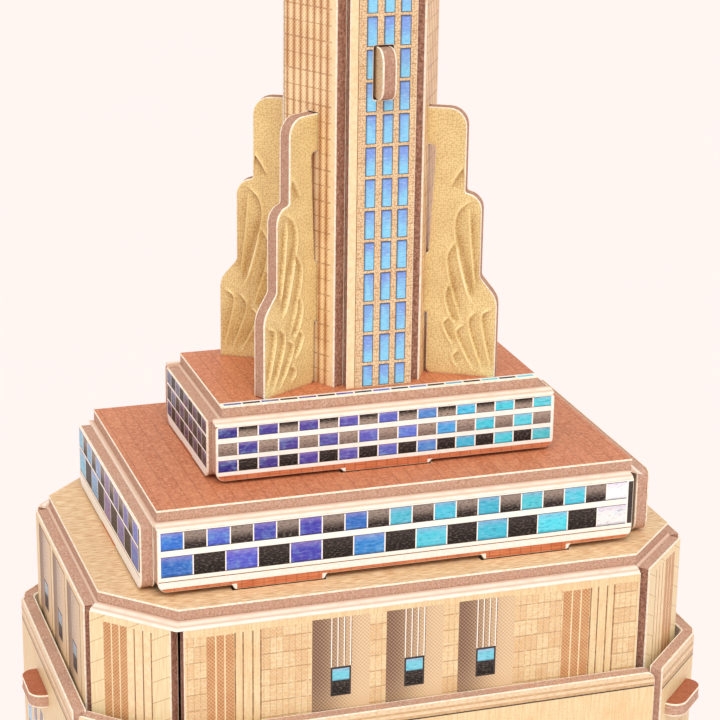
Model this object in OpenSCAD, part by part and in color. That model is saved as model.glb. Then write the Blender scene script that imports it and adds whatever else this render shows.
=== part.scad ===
// Slot-together tower model cut from card-faced foam board.
// Origin at the centre of the base's underside, +Z up, front towards -Y. Millimetres.

/* [Board] */
// Thickness of the card-faced foam board
board_t = 2; // [1.8:0.1:2.2]
// Size of the uncut paper left along each fold
hinge_w = 0.8; // [0.6:0.1:1]

/* [Base and blocks] */
// Width, depth and thickness of the base board
base_size = [232, 148, 4]; // [4:1:300]
// Width, depth and height of the podium
podium_size = [204, 116, 24]; // [20:1:220]
// Width, depth and height of the lower setback block
lower_size = [166, 96, 42]; // [20:1:180]
// Width, depth and height of the middle setback block
middle_size = [128, 80, 30]; // [20:1:150]
// Width and height of the entrance portals
portal_size = [34, 20]; // [12:1:40]

/* [Shaft] */
// Width, depth and height of the shaft, measured outside its walls
shaft_size = [92.6, 61.4, 200]; // [50:0.1:220]
// Length cut off each corner of the shaft's hollow
shaft_chamfer = 9.4; // [9:0.1:10]
// Depth of the upper floor below the shaft's rim
floor_drop = 6.4; // [6:0.1:12]
// Width, projection and height of the flat bay on each side of the shaft
bay_size = [24, 4, 150]; // [4:1:170]
// Width and reach of the rounded tabs that show outside the shaft
tab_size = [9, 2.5]; // [2:0.1:10]

/* [Roof tiers] */
// Width, depth and rise of the octagonal tier above the shaft's rim
deck_size = [84, 53, 16.6]; // [10:0.1:86]
// Length cut off each corner of the octagonal tier
deck_chamfer = 9; // [8:0.1:10]
// Width, depth and rise of the lower window tier
band_size = [68.8, 40.8, 11.8]; // [8:0.1:72]
// Width, depth and rise of the upper window tier
cap_size = [46.4, 23.8, 10.6]; // [8:0.1:50]
// Width of the foot tabs that lock a window tier into the roof below
foot_w = 13.3; // [10:0.1:14]

/* [Mast] */
// Corner radius of the mast's hollow
mast_r = 9; // [8.8:0.1:9.2]
// Height of the mast's walls
mast_h = 65; // [60:1:75]
// Reach and height of a wing, measured from the mast's axis
wing_size = [20, 38.4]; // [19:0.1:42]
// Corner radius of the crown's hollow, and the crown's height
crown_size = [7, 11]; // [6:0.5:14]
// Widest and narrowest width of the antenna's blades, and their height above the crown
antenna_size = [11, 2.4, 86]; // [2:0.1:100]

/* [Hidden] */
$fn = 48;
hinge_bite = 0.3;
flap_gap = 0.15;
mast_apothem = mast_r * cos(30);
tab_corner = 2;
// Amounts by which the outer faces of a mast wall's three panels are longer than the inner ones, at each end
mast_flares = [0.15, 0.55, 0.15];

// Heights of the storeys above the base's underside
podium_z = base_size.z;
lower_z = podium_z + podium_size.z;
middle_z = lower_z + lower_size.z;
shaft_z = middle_z + middle_size.z;
rim_z = shaft_z + shaft_size.z;
floor_z = rim_z - floor_drop;
deck_z = rim_z + deck_size.z;
band_z = deck_z + band_size.z;
cap_z = band_z + cap_size.z;
mast_top_z = cap_z + mast_h;
crown_z = mast_top_z + board_t;
crown_top_z = crown_z + crown_size[1] + board_t;

// Distance of the lower window tier's flaps from its roof's front, right, back and left edges
band_folds = [0, 0.9, 0, 0.3];

// Places of the foot tabs along the window tiers' long sides
band_feet = [-17.9, 17.9];
cap_feet = [0];

// Distance of the side tabs from the middle of the shaft's narrow sides
side_tab_shift = 3.3;

// Places of the cross braces along the long ones
podium_ribs = [-56, 56];
shaft_ribs = [-20, 20];

// Heights of the wings' tabs above the mast's foot, and of the mast's round tab
wing_tabs = [[9, 17.5], [33.2, wing_size[1]]];
mast_tab_z = 44.4;
mast_tab_size = [7, 2.6];
mast_slot_size = [3.4, 7.6];

// Gap between a wing's inner edge and the mast
wing_gap = 0.6;

// Overlap of a wing's tabs with its lobes
tab_bite = 1;

// Lobes of a wing from the lowest to the highest: step back from its full reach, top and corner radius
wing_lobes = [[0, 13.6, 3.4], [2.5, 26, 2.6], [4.9, wing_size[1], 2.6]];

// Doorways of a portal: width as a share of the portal's width, and height as a share of its height
door_share = [0.2, 0.7];
// Distance between two doorways' middles, in doorway widths
door_spacing = 1.5;

// Dome discs on the crown: radius and height of each above it
dome_discs = [[8, 4], [6.4, 9]];

// Steps of the antenna's long blade, each a width and its top, and its half-lap with the other
blade_steps = [[antenna_size[0], 14], [7.3, 40], [antenna_size[1], antenna_size[2]]];
half_lap_z = 20;

card_tan = "#d8b47c";
card_cream = "#e6cf9c";
card_brown = "#a55a3c";
card_blue = "#3c78c8";
card_grey = "#b9ab98";
foam_pink = "#c39a86";

// ---------- outlines, all counter-clockwise from the front left ----------

function rectangle(half_x, half_y) =
    [[-half_x, -half_y], [half_x, -half_y], [half_x, half_y], [-half_x, half_y]];

function cut_rectangle(half_x, half_y, cut) = [
    [-half_x + cut, -half_y], [half_x - cut, -half_y],
    [half_x, -half_y + cut], [half_x, half_y - cut],
    [half_x - cut, half_y], [-half_x + cut, half_y],
    [-half_x, half_y - cut], [-half_x, -half_y + cut]
];

function hexagon(radius) = [for (i = [0 : 5]) radius * [cos(240 + 60 * i), sin(240 + 60 * i)]];

shaft_hollow = cut_rectangle(shaft_size.x / 2 - board_t, shaft_size.y / 2 - board_t, shaft_chamfer);
deck_outline = cut_rectangle(deck_size.x / 2, deck_size.y / 2, deck_chamfer);
mast_hollow = hexagon(mast_r);

// ---------- folded board ----------

function heading(a, b) = atan2(b.y - a.y, b.x - a.x);

function outward(a, b) = [sin(heading(a, b)), -cos(heading(a, b))];

// Plan of one flat panel outside the line from a to b, its outer face longer by flare at each end
module panel_plan(a, b, flare = 0) {
    length = norm(b - a);
    translate(a)
        rotate(heading(a, b))
            polygon([[-flare, -board_t], [length + flare, -board_t], [length, 0], [0, 0]]);
}

// Plan of the paper that joins the panels a-b and b-c at their corner
module hinge_plan(a, b, c) {
    polygon([
        b,
        b + outward(a, b) * hinge_w + (a - b) / norm(a - b) * hinge_bite,
        b + outward(b, c) * hinge_w + (c - b) / norm(c - b) * hinge_bite
    ]);
}

// A run of upright panels folded from one sheet, standing outside the given corners
module folded_wall(corners, height, flares = [0, 0, 0]) {
    linear_extrude(height) {
        for (i = [0 : len(corners) - 2])
            panel_plan(corners[i], corners[i + 1], flares[i]);
        for (i = [1 : len(corners) - 2])
            hinge_plan(corners[i - 1], corners[i], corners[i + 1]);
    }
}

// A roof plate with a flap folded down outside each edge, at the distances given in folds; z = 0 is its foot
module folded_tier(outline, rise, folds = []) {
    translate([0, 0, rise - board_t])
        linear_extrude(board_t)
            polygon(outline);
    for (i = [0 : len(outline) - 1]) {
        a = outline[i];
        b = outline[(i + 1) % len(outline)];
        along = (b - a) / norm(b - a);
        gap = i < len(folds) ? folds[i] : 0;
        away = outward(a, b) * gap;
        linear_extrude(rise - board_t)
            panel_plan(a + along * flap_gap + away, b - along * flap_gap + away);
        translate([a.x, a.y, rise - board_t])
            rotate(heading(a, b))
                translate([0, -gap - hinge_w / 2, -hinge_w / 2])
                    cube([norm(b - a), gap + hinge_w, hinge_w]);
    }
}

// The foot tabs of a tier's long flaps, one board deep below z = 0
module foot_tabs(size, places) {
    for (side = [-1, 1], x = places)
        translate([x - foot_w / 2, side * (size.y + board_t) / 2 - board_t / 2, -board_t])
            cube([foot_w, board_t, board_t]);
}

// ---------- blocks ----------

module front_wall_of(size) {
    translate([-size.x / 2, -size.y / 2, 0])
        cube([size.x, board_t, size.z - board_t]);
}

module side_wall_of(size) {
    translate([-size.x / 2, -size.y / 2 + board_t, 0])
        cube([board_t, size.y - 2 * board_t, size.z - board_t]);
}

module roof_of(size) {
    translate([-size.x / 2, -size.y / 2, size.z - board_t])
        cube([size.x, size.y, board_t]);
}

// Upright brace along X, with slots from its top edge down to half its height
module long_brace(length, height, slots) {
    difference() {
        translate([-length / 2, -board_t / 2, 0])
            cube([length, board_t, height]);
        for (x = slots)
            translate([x - board_t / 2, -board_t, height / 2])
                cube([board_t, 2 * board_t, height]);
    }
}

// Upright brace along Y, with one slot from its bottom edge up to half its height
module cross_brace(length, height) {
    difference() {
        translate([-board_t / 2, -length / 2, 0])
            cube([board_t, length, height]);
        translate([-board_t, -board_t / 2, -height])
            cube([2 * board_t, board_t, 1.5 * height]);
    }
}

// Flat tab with rounded corners that reaches out along +X from x = -board_t
module round_tab(size) {
    half = size[0] / 2;
    linear_extrude(board_t) {
        translate([-board_t, -half])
            square([size[1] + board_t - tab_corner, size[0]]);
        translate([-board_t, tab_corner - half])
            square([size[1] + board_t, size[0] - 2 * tab_corner]);
        for (side = [-1, 1])
            translate([size[1] - tab_corner, side * (half - tab_corner)])
                circle(r = tab_corner);
    }
}

// ---------- base and portals ----------

module base_board() {
    color(card_grey)
        translate([-base_size.x / 2, -base_size.y / 2, 0])
            cube(base_size);
}

// Board arch with three doorways, standing on the base against a podium wall
module portal() {
    door_w = portal_size[0] * door_share[0];
    door_h = portal_size[1] * door_share[1];
    color(card_cream)
        translate([0, -podium_size.y / 2 - board_t, podium_z])
            difference() {
                translate([-portal_size[0] / 2, 0, 0])
                    cube([portal_size[0], board_t, portal_size[1]]);
                for (i = [-1 : 1])
                    translate([door_w * (door_spacing * i - 0.5), -board_t, -door_h])
                        cube([door_w, 3 * board_t, 2 * door_h]);
            }
}

// ---------- podium and setback blocks ----------

module block_front_wall(size, z) {
    color(card_tan)
        translate([0, 0, z])
            front_wall_of(size);
}

module block_side_wall(size, z) {
    color(card_tan)
        translate([0, 0, z])
            side_wall_of(size);
}

module block_roof(size, z) {
    color(card_brown)
        translate([0, 0, z])
            roof_of(size);
}

// Brace along X between a block's side walls, slotted for cross braces at the given places
module block_long_brace(size, z, ribs = [0]) {
    color(foam_pink)
        translate([0, 0, z])
            long_brace(size.x - 2 * board_t, size.z - board_t, ribs);
}

module block_cross_brace(size, z, x = 0) {
    color(foam_pink)
        translate([x, 0, z])
            cross_brace(size.y - 2 * board_t, size.z - board_t);
}

// ---------- shaft ----------

module shaft_front_wall() {
    length = shaft_hollow[1].x - shaft_hollow[0].x;
    color(card_tan)
        translate([-length / 2, -shaft_size.y / 2, shaft_z])
            cube([length, board_t, shaft_size.z]);
}

// Middle point of the shaft's hollow between two of its corners
function shaft_middle(i) = (shaft_hollow[i] + shaft_hollow[i + 1]) / 2;

// Puts a tab's shape on the hollow's side i, with +X pointing out
module at_shaft_side(i) {
    translate([shaft_middle(i).x, shaft_middle(i).y, floor_z - board_t])
        rotate(heading(shaft_hollow[i], shaft_hollow[i + 1]) - 90)
            translate([0, i == 2 ? -side_tab_shift : 0, 0])
                children();
}

// The right side with a chamfer panel folded back from each of its edges
module shaft_side_wall() {
    color(card_tan)
        difference() {
            translate([0, 0, shaft_z])
                folded_wall([for (i = [1 : 4]) shaft_hollow[i]], shaft_size.z);
            for (i = [1 : 3])
                at_shaft_side(i)
                    translate([-board_t, -tab_size[0] / 2, 0])
                        cube([3 * board_t, tab_size[0], board_t]);
        }
}

// The bay is a shallow folded box that stands on the middle block's roof
module shaft_bay() {
    back = shaft_size.x / 2;
    inner_w = bay_size.x / 2 - board_t;
    inner_d = bay_size.y - board_t;
    corners = [[0, -inner_w], [inner_d, -inner_w], [inner_d, inner_w], [0, inner_w]];
    color(card_cream)
        translate([back, 0, shaft_z]) {
            folded_wall(corners, bay_size.z);
            translate([0, -inner_w, bay_size.z - board_t])
                cube([inner_d, 2 * inner_w, board_t]);
        }
}

module shaft_floor() {
    color(card_brown) {
        translate([0, 0, floor_z - board_t])
            linear_extrude(board_t)
                polygon(shaft_hollow);
        for (turn = [0, 180], i = [1 : 3])
            rotate(turn)
                at_shaft_side(i)
                    translate([board_t, 0, 0])
                        round_tab(tab_size);
    }
}

module shaft_long_brace() {
    color(foam_pink)
        translate([0, 0, shaft_z])
            long_brace(shaft_size.x - 2 * board_t, shaft_size.z - floor_drop - board_t, shaft_ribs);
}

module shaft_cross_brace(x) {
    color(foam_pink)
        translate([x, 0, shaft_z])
            cross_brace(shaft_size.y - 2 * board_t, shaft_size.z - floor_drop - board_t);
}

// ---------- roof tiers ----------

// The octagonal tier stands inside the shaft's rim on its upper floor
module deck_tier() {
    color(card_cream)
        difference() {
            translate([0, 0, floor_z])
                folded_tier(deck_outline, deck_z - floor_z);
            translate([0, 0, deck_z])
                foot_tabs(band_size, band_feet);
        }
}

// Frame board along Y inside the octagonal tier
module deck_brace(x) {
    color(foam_pink)
        translate([x - board_t / 2, -deck_size.y / 2, floor_z])
            cube([board_t, deck_size.y, deck_z - floor_z - board_t - hinge_w]);
}

module band_tier() {
    color(card_blue)
        translate([0, 0, deck_z]) {
            difference() {
                folded_tier(rectangle(band_size.x / 2, band_size.y / 2), band_size.z, band_folds);
                translate([0, 0, band_size.z])
                    foot_tabs(cap_size, cap_feet);
            }
            foot_tabs(band_size, band_feet);
        }
}

// Stiffener along X under the band tier's roof
module band_brace() {
    color(foam_pink)
        translate([-band_size.x / 2 + hinge_w, -board_t / 2, deck_z])
            cube([band_size.x - 2 * hinge_w, board_t, band_size.z - board_t]);
}

module cap_tier() {
    color(card_blue)
        translate([0, 0, band_z]) {
            folded_tier(rectangle(cap_size.x / 2, cap_size.y / 2), cap_size.z);
            foot_tabs(cap_size, cap_feet);
        }
}

// ---------- mast ----------

// Puts a shape on the mast's axis at the cap's roof, turned so that +X points out of side i
module at_mast_side(i) {
    translate([0, 0, cap_z])
        rotate(-90 + 60 * i)
            children();
}

// Three of the mast's six panels, with slots for two wings and the round tab
module mast_wall() {
    color(card_cream)
        difference() {
            translate([0, 0, cap_z])
                rotate(-60)
                    folded_wall([for (i = [0 : 3]) mast_hollow[i]], mast_h, mast_flares);
            for (i = [-1, 1], tab = wing_tabs)
                at_mast_side(i)
                    translate([mast_apothem - board_t, -board_t / 2, tab[0]])
                        cube([3 * board_t, board_t, tab[1] - tab[0]]);
            at_mast_side(0)
                translate([mast_apothem + board_t / 2, 0, mast_tab_z])
                    cube([3 * board_t, mast_slot_size[0], mast_slot_size[1]], center = true);
        }
}

// Upright board inside the mast from front to back, with a round tab through each end panel
module mast_brace() {
    color(card_cream) {
        translate([-board_t / 2, -mast_apothem, cap_z])
            cube([board_t, 2 * mast_apothem, mast_h]);
        for (turn = [0, 180])
            rotate(turn)
                at_mast_side(0)
                    translate([mast_apothem + board_t, board_t / 2, mast_tab_z])
                        rotate([90, 0, 0])
                            round_tab(mast_tab_size);
    }
}

module mast_roof() {
    color(card_brown)
        translate([0, 0, mast_top_z])
            linear_extrude(board_t)
                polygon(hexagon(mast_r + board_t / cos(30)));
}

// A wing's outline: rounded lobes that step inwards as they rise, and the tabs that enter the mast
module wing_outline() {
    inner = mast_apothem + board_t + wing_gap;
    for (lobe = wing_lobes) {
        reach = wing_size[0] - lobe[0];
        translate([inner, 0])
            square([reach - inner, lobe[1] - lobe[2]]);
        translate([inner, 0])
            square([reach - inner - lobe[2], lobe[1]]);
        translate([reach - lobe[2], lobe[1] - lobe[2]])
            circle(r = lobe[2]);
    }
    for (tab = wing_tabs)
        translate([mast_apothem, tab[0]])
            square([inner + tab_bite - mast_apothem, tab[1] - tab[0]]);
}

module wing(i) {
    color(card_cream)
        at_mast_side(i)
            rotate([90, 0, 0])
                translate([0, 0, -board_t / 2])
                    linear_extrude(board_t)
                        wing_outline();
}

// ---------- crown and antenna ----------

module crown_wall() {
    color(card_cream)
        translate([0, 0, crown_z])
            linear_extrude(crown_size[1])
                difference() {
                    polygon(hexagon(crown_size[0] + board_t / cos(30)));
                    polygon(hexagon(crown_size[0]));
                }
}

module crown_roof() {
    color(card_brown)
        translate([0, 0, crown_z + crown_size[1]])
            linear_extrude(board_t)
                polygon(hexagon(crown_size[0] + 2 * board_t));
}

// Cross-shaped hole that lets the antenna's blades through a disc
module blade_slots() {
    for (turn = [0, 90])
        rotate(turn)
            square([antenna_size[0], board_t], center = true);
}

module dome_disc(i) {
    color(card_cream)
        translate([0, 0, crown_top_z + dome_discs[i][1]])
            linear_extrude(board_t)
                difference() {
                    circle(r = dome_discs[i][0]);
                    blade_slots();
                }
}

// A blade in the XZ plane, stepping in as it rises, slotted between two heights
module antenna_blade(steps, slot_from, slot_to) {
    color(card_grey)
        translate([0, 0, crown_top_z])
            rotate([90, 0, 0])
                translate([0, 0, -board_t / 2])
                    linear_extrude(board_t)
                        difference() {
                            for (step = steps)
                                translate([-step[0] / 2, 0])
                                    square(step);
                            translate([-board_t / 2, slot_from])
                                square([board_t, slot_to - slot_from]);
                        }
}

// The second blade stops where the needle begins
module antenna_cross_blade() {
    rotate(90)
        antenna_blade([blade_steps[0], blade_steps[1]], half_lap_z, blade_steps[1][1]);
}

base_board();
block_front_wall(podium_size, podium_z);  // podium_front_wall
rotate(180) block_front_wall(podium_size, podium_z);  // podium_back_wall
block_side_wall(podium_size, podium_z);  // podium_left_wall
rotate(180) block_side_wall(podium_size, podium_z);  // podium_right_wall
block_roof(podium_size, podium_z);  // podium_roof
block_long_brace(podium_size, podium_z, podium_ribs);  // podium_long_brace
block_cross_brace(podium_size, podium_z, podium_ribs[0]);  // podium_cross_brace_left
block_cross_brace(podium_size, podium_z, podium_ribs[1]);  // podium_cross_brace_right
portal();  // front_portal
rotate(180) portal();  // back_portal
block_front_wall(lower_size, lower_z);  // lower_front_wall
rotate(180) block_front_wall(lower_size, lower_z);  // lower_back_wall
block_side_wall(lower_size, lower_z);  // lower_left_wall
rotate(180) block_side_wall(lower_size, lower_z);  // lower_right_wall
block_roof(lower_size, lower_z);  // lower_roof
block_long_brace(lower_size, lower_z);  // lower_long_brace
block_cross_brace(lower_size, lower_z);  // lower_cross_brace
block_front_wall(middle_size, middle_z);  // middle_front_wall
rotate(180) block_front_wall(middle_size, middle_z);  // middle_back_wall
block_side_wall(middle_size, middle_z);  // middle_left_wall
rotate(180) block_side_wall(middle_size, middle_z);  // middle_right_wall
block_roof(middle_size, middle_z);  // middle_roof
block_long_brace(middle_size, middle_z);  // middle_long_brace
block_cross_brace(middle_size, middle_z);  // middle_cross_brace
shaft_front_wall();
rotate(180) shaft_front_wall();  // shaft_back_wall
rotate(180) shaft_side_wall();  // shaft_left_wall
shaft_side_wall();  // shaft_right_wall
rotate(180) shaft_bay();  // shaft_left_bay
shaft_bay();  // shaft_right_bay
shaft_floor();
shaft_long_brace();
shaft_cross_brace(shaft_ribs[0]);  // shaft_cross_brace_left
shaft_cross_brace(shaft_ribs[1]);  // shaft_cross_brace_right
deck_tier();
deck_brace(shaft_ribs[0]);  // deck_brace_left
deck_brace(shaft_ribs[1]);  // deck_brace_right
band_tier();
band_brace();
cap_tier();
mast_wall();  // mast_front_wall
rotate(180) mast_wall();  // mast_back_wall
mast_brace();
mast_roof();
wing(-1);  // wing_front_left
wing(1);  // wing_front_right
wing(-2);  // wing_back_left
wing(2);  // wing_back_right
crown_wall();
crown_roof();
dome_disc(0);  // dome_lower_disc
dome_disc(1);  // dome_upper_disc
antenna_blade(blade_steps, 0, half_lap_z);  // antenna_long_blade
antenna_cross_blade();
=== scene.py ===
"""A souvenir tower of printed, card-faced foam board: its pieces, and a floor, light and camera."""

import math
import random

import bpy
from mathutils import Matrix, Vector
from mathutils.geometry import delaunay_2d_cdt, tessellate_polygon


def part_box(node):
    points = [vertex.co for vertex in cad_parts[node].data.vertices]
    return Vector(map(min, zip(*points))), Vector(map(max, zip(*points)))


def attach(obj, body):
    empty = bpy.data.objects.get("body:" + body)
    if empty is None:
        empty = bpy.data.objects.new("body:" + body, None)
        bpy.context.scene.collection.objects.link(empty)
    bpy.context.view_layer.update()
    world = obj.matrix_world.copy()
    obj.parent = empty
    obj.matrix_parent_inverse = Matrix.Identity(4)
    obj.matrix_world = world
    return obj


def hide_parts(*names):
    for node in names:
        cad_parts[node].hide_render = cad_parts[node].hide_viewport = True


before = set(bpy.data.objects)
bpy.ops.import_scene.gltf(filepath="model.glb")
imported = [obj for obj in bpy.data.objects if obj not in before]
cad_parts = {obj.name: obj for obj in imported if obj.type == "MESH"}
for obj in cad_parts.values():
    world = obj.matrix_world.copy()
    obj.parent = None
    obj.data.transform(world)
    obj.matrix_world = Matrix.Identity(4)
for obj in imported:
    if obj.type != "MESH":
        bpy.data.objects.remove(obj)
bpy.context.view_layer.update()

# Lengths in this script are millimetres; a piece turns into metres when its mesh is made.
MM = 0.001
# Thickness of the board and of its printed paper, and the radius of the paper's rounded edge
BOARD = 2.0
PAPER = 0.24
RIM = 0.1
# Spacing of the mast's windows and of the courses printed between them
PANE_PITCH = 4.43
CHANCE = random.Random(11)


# ---------- colours ----------

def tone(red, green, blue):
    """A linear colour from a display one, each part 0 to 255."""
    parts = []
    for part in (red, green, blue):
        part = part / 255
        parts.append(part / 12.92 if part <= 0.04045 else ((part + 0.055) / 1.055) ** 2.4)
    return (*parts, 1.0)


NO_INK = tone(255, 255, 255)


def between(stops, at):
    """Colour at a place 0 to 1 along (place, colour) stops."""
    for (low, first), (high, second) in zip(stops, stops[1:]):
        if at <= high:
            share = max(0.0, (at - low) / (high - low))
            return tuple(a + (b - a) * share for a, b in zip(first, second))
    return stops[-1][1]


# Foil colours from a window row's left end to its right end
# The lower window tier's rows end in a white window: a painted reflection, the glare of a lamp in the foil
BAND_FOIL_AND_GLARE = [
    (0.0, tone(40, 112, 206)), (0.14, tone(78, 84, 196)), (0.33, tone(58, 48, 162)),
    (0.42, tone(36, 126, 212)), (0.52, tone(84, 212, 226)), (0.66, tone(48, 184, 222)),
    (0.8, tone(76, 212, 226)), (0.94, tone(72, 204, 230)), (1.0, tone(255, 255, 255)),
]
CAP_FOIL = [
    (0.0, tone(46, 38, 136)), (0.2, tone(78, 62, 156)), (0.4, tone(88, 76, 174)),
    (0.56, tone(88, 112, 208)), (0.68, tone(68, 158, 224)), (0.8, tone(56, 210, 232)),
    (1.0, tone(84, 214, 228)),
]
SIDE_FOIL = [
    (0.0, tone(104, 196, 226)), (0.3, tone(90, 150, 205)), (0.5, tone(112, 82, 150)),
    (0.75, tone(92, 78, 160)), (1.0, tone(52, 92, 196)),
]
CAP_SIDE_FOIL = [(0.0, tone(34, 38, 96)), (0.5, tone(50, 30, 76)), (1.0, tone(30, 22, 54))]
TOWER_FOIL = [
    (0.0, tone(60, 56, 150)), (0.35, tone(88, 80, 178)), (0.6, tone(76, 118, 204)),
    (0.85, tone(92, 170, 226)), (1.0, tone(150, 206, 236)),
]


def foil(stops, at):
    """Foil colour at a place along a row, with a little change from window to window."""
    lift = CHANCE.uniform(0.86, 1.16)
    return tuple(min(1.0, part * lift) for part in between(stops, at)[:3]) + (1.0,)


# ---------- node materials ----------

class Paint:
    """One material's nodes. Its methods return sockets, so they combine like plain numbers."""

    def __init__(self, name, roughness, coat=0.0, metallic=0.0, specular=0.5):
        self.material = bpy.data.materials.new(name)
        self.material.use_nodes = True
        self.tree = self.material.node_tree
        self.tree.nodes.clear()
        self.shader = self.node("ShaderNodeBsdfPrincipled")
        self.shader.inputs["Roughness"].default_value = roughness
        self.shader.inputs["Coat Weight"].default_value = coat
        self.shader.inputs["Coat Roughness"].default_value = 0.25
        self.shader.inputs["Metallic"].default_value = metallic
        self.shader.inputs["Specular IOR Level"].default_value = specular
        output = self.node("ShaderNodeOutputMaterial")
        self.tree.links.new(self.shader.outputs[0], output.inputs[0])
        spot = self.node("ShaderNodeTexCoord").outputs["Object"]
        self.spot = self.scaled(spot, 1 / MM, 1 / MM, 1 / MM)
        self.u, self.v = self.layer("print")

    def node(self, kind, inputs=None, **settings):
        made = self.tree.nodes.new(kind)
        for key, value in settings.items():
            setattr(made, key, value)
        for key, value in (inputs or {}).items():
            self.put(made.inputs[key], value)
        return made

    def put(self, socket, value):
        if isinstance(value, bpy.types.NodeSocket):
            self.tree.links.new(value, socket)
        else:
            socket.default_value = value

    def layer(self, name):
        """The two coordinates of a UV layer."""
        source = self.node("ShaderNodeUVMap", uv_map=name).outputs[0]
        split = self.node("ShaderNodeSeparateXYZ", {0: source})
        return split.outputs[0], split.outputs[1]

    def math(self, operation, first, second=0.0, third=0.0):
        return self.node("ShaderNodeMath", {0: first, 1: second, 2: third}, operation=operation).outputs[0]

    def scaled(self, vector, *factors):
        """A vector with each of its parts multiplied by its own factor."""
        made = self.node("ShaderNodeVectorMath", {0: vector, 1: factors}, operation="MULTIPLY")
        return made.outputs[0]

    def stretched(self, x, y, z):
        """The spot with each direction scaled on its own."""
        return self.scaled(self.spot, x, y, z)

    def point(self, x, y, z=0.0):
        return self.node("ShaderNodeCombineXYZ", {0: x, 1: y, 2: z}).outputs[0]

    def mix(self, amount, first, second):
        made = self.node("ShaderNodeMix", data_type="RGBA")
        self.put(made.inputs[0], amount)
        self.put(made.inputs[6], first)
        self.put(made.inputs[7], second)
        return made.outputs[2]

    def noise(self, where, scale, detail=3.0, roughness=0.55):
        inputs = {"Vector": where, "Scale": scale, "Detail": detail, "Roughness": roughness}
        return self.node("ShaderNodeTexNoise", inputs).outputs[0]

    def grain(self, along, across, length, width, detail=3.0):
        """Noise drawn out along one direction, as in wood or brushed ink."""
        where = self.point(self.math("DIVIDE", along, length), self.math("DIVIDE", across, width))
        return self.noise(where, 1.0, detail)

    def spread(self, value, low, high, out_low=0.0, out_high=1.0):
        """Stretches a value's range from low-high to another one, clamped and smooth."""
        inputs = {0: value, 1: low, 2: high, 3: out_low, 4: out_high}
        return self.node("ShaderNodeMapRange", inputs, interpolation_type="SMOOTHSTEP").outputs[0]

    def blocks(self, width, height):
        """A vector that stays the same over each block of the print and differs between blocks."""
        counts = [
            self.math("FLOOR", self.math("DIVIDE", place, size))
            for place, size in ((self.u, width), (self.v, height))
        ]
        return self.point(*counts)

    def broken(self, least):
        """1 on most of the print, down to the least in patches, for lines with worn places."""
        return self.spread(self.noise(self.spot, 2.2, 2.0), 0.35, 0.5, least, 1.0)

    def ink_and_shading(self):
        """The colour stored in the mesh."""
        return self.node("ShaderNodeAttribute", attribute_name="ink_and_shading").outputs[0]

    def tint(self, colour, value, low, high, share, other):
        """Mixes another colour in: none where value is low, the given share where it is high."""
        return self.mix(self.spread(value, low, high, 0.0, share), colour, other)

    def lines(self, coordinate, pitch, width, start=0.0):
        """1 on lines of a width that repeat at a pitch, 0 between them."""
        turns = self.math("DIVIDE", self.math("SUBTRACT", coordinate, start), pitch)
        away = self.math("ABSOLUTE", self.math("SUBTRACT", self.math("FRACT", turns), 0.5))
        edge = 0.5 - width / pitch / 2
        return self.spread(away, edge - 0.15 * width / pitch, edge + 0.15 * width / pitch)

    def dots(self, cover, contrast=0.75, pitch=0.39):
        """Share of the darker ink: cover, raised on halftone dots at 45 degrees and lowered between them."""
        turn = 2 * math.pi / pitch * math.sqrt(0.5)
        first = self.math("COSINE", self.math("MULTIPLY", self.math("ADD", self.u, self.v), turn))
        second = self.math("COSINE", self.math("MULTIPLY", self.math("SUBTRACT", self.u, self.v), turn))
        field = self.math("MULTIPLY", self.math("ADD", first, second), contrast / 4)
        return self.node("ShaderNodeMath", {0: field, 1: cover}, operation="ADD", use_clamp=True).outputs[0]

    def stipple(self, cover, contrast, pitch):
        """Share of the darker ink: cover, lowered in scattered round dots and raised between them."""
        where = self.scaled(self.point(self.u, self.v), 1 / pitch, 1 / pitch, 1 / pitch)
        inputs = {"Vector": where, "Scale": 1.0, "Randomness": 0.7}
        away = self.node("ShaderNodeTexVoronoi", inputs, voronoi_dimensions="2D").outputs["Distance"]
        field = self.spread(away, 0.15, 0.6, -contrast / 2, contrast / 2)
        return self.node("ShaderNodeMath", {0: field, 1: cover}, operation="ADD", use_clamp=True).outputs[0]

    def bump(self, height, distance, strength=1.0):
        inputs = {"Height": height, "Distance": distance * MM, "Strength": strength}
        self.put(self.shader.inputs["Normal"], self.node("ShaderNodeBump", inputs).outputs[0])

    def colour(self, value, roughness=None):
        self.put(self.shader.inputs["Base Color"], value)
        if roughness is not None:
            self.put(self.shader.inputs["Roughness"], roughness)
        return self.material


def foam(name, depth):
    """Cut edge of the foam core: pink-brown, pitted, with fine level streaks; depth is the share of dark
    brown mixed over it as painted shade.
    """
    paint = Paint(name, 0.85, specular=0.2)
    speckle = paint.noise(paint.spot, 3.6, 4.0, 0.8)
    streak = paint.noise(paint.stretched(0.7, 0.7, 3.4), 1.0, 3.0, 0.7)
    colour = paint.mix(paint.spread(speckle, 0.34, 0.66), tone(184, 136, 110), tone(234, 200, 178))
    colour = paint.tint(colour, streak, 0.4, 0.6, 0.5, tone(214, 166, 140))
    paint.bump(speckle, 0.2)
    return paint.colour(paint.mix(depth, colour, tone(150, 100, 72)))


def shaded_foam():
    """Foam in the narrow grooves between panels: darker and browner."""
    paint = Paint("groove_foam", 0.9, specular=0.1)
    speckle = paint.noise(paint.spot, 2.6, 4.0, 0.8)
    colour = paint.mix(paint.spread(speckle, 0.38, 0.66), tone(150, 104, 82), tone(212, 164, 140))
    paint.bump(speckle, 0.2)
    return paint.colour(colour)


def paper():
    """Cut and rounded edge of the printed paper: near white, a little frayed."""
    paint = Paint("paper_edge", 0.7, specular=0.3)
    fray = paint.noise(paint.spot, 2.2, 3.0)
    paint.bump(fray, 0.1)
    return paint.colour(paint.mix(paint.spread(fray, 0.3, 0.75), tone(255, 248, 230), tone(238, 214, 184)))


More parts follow.
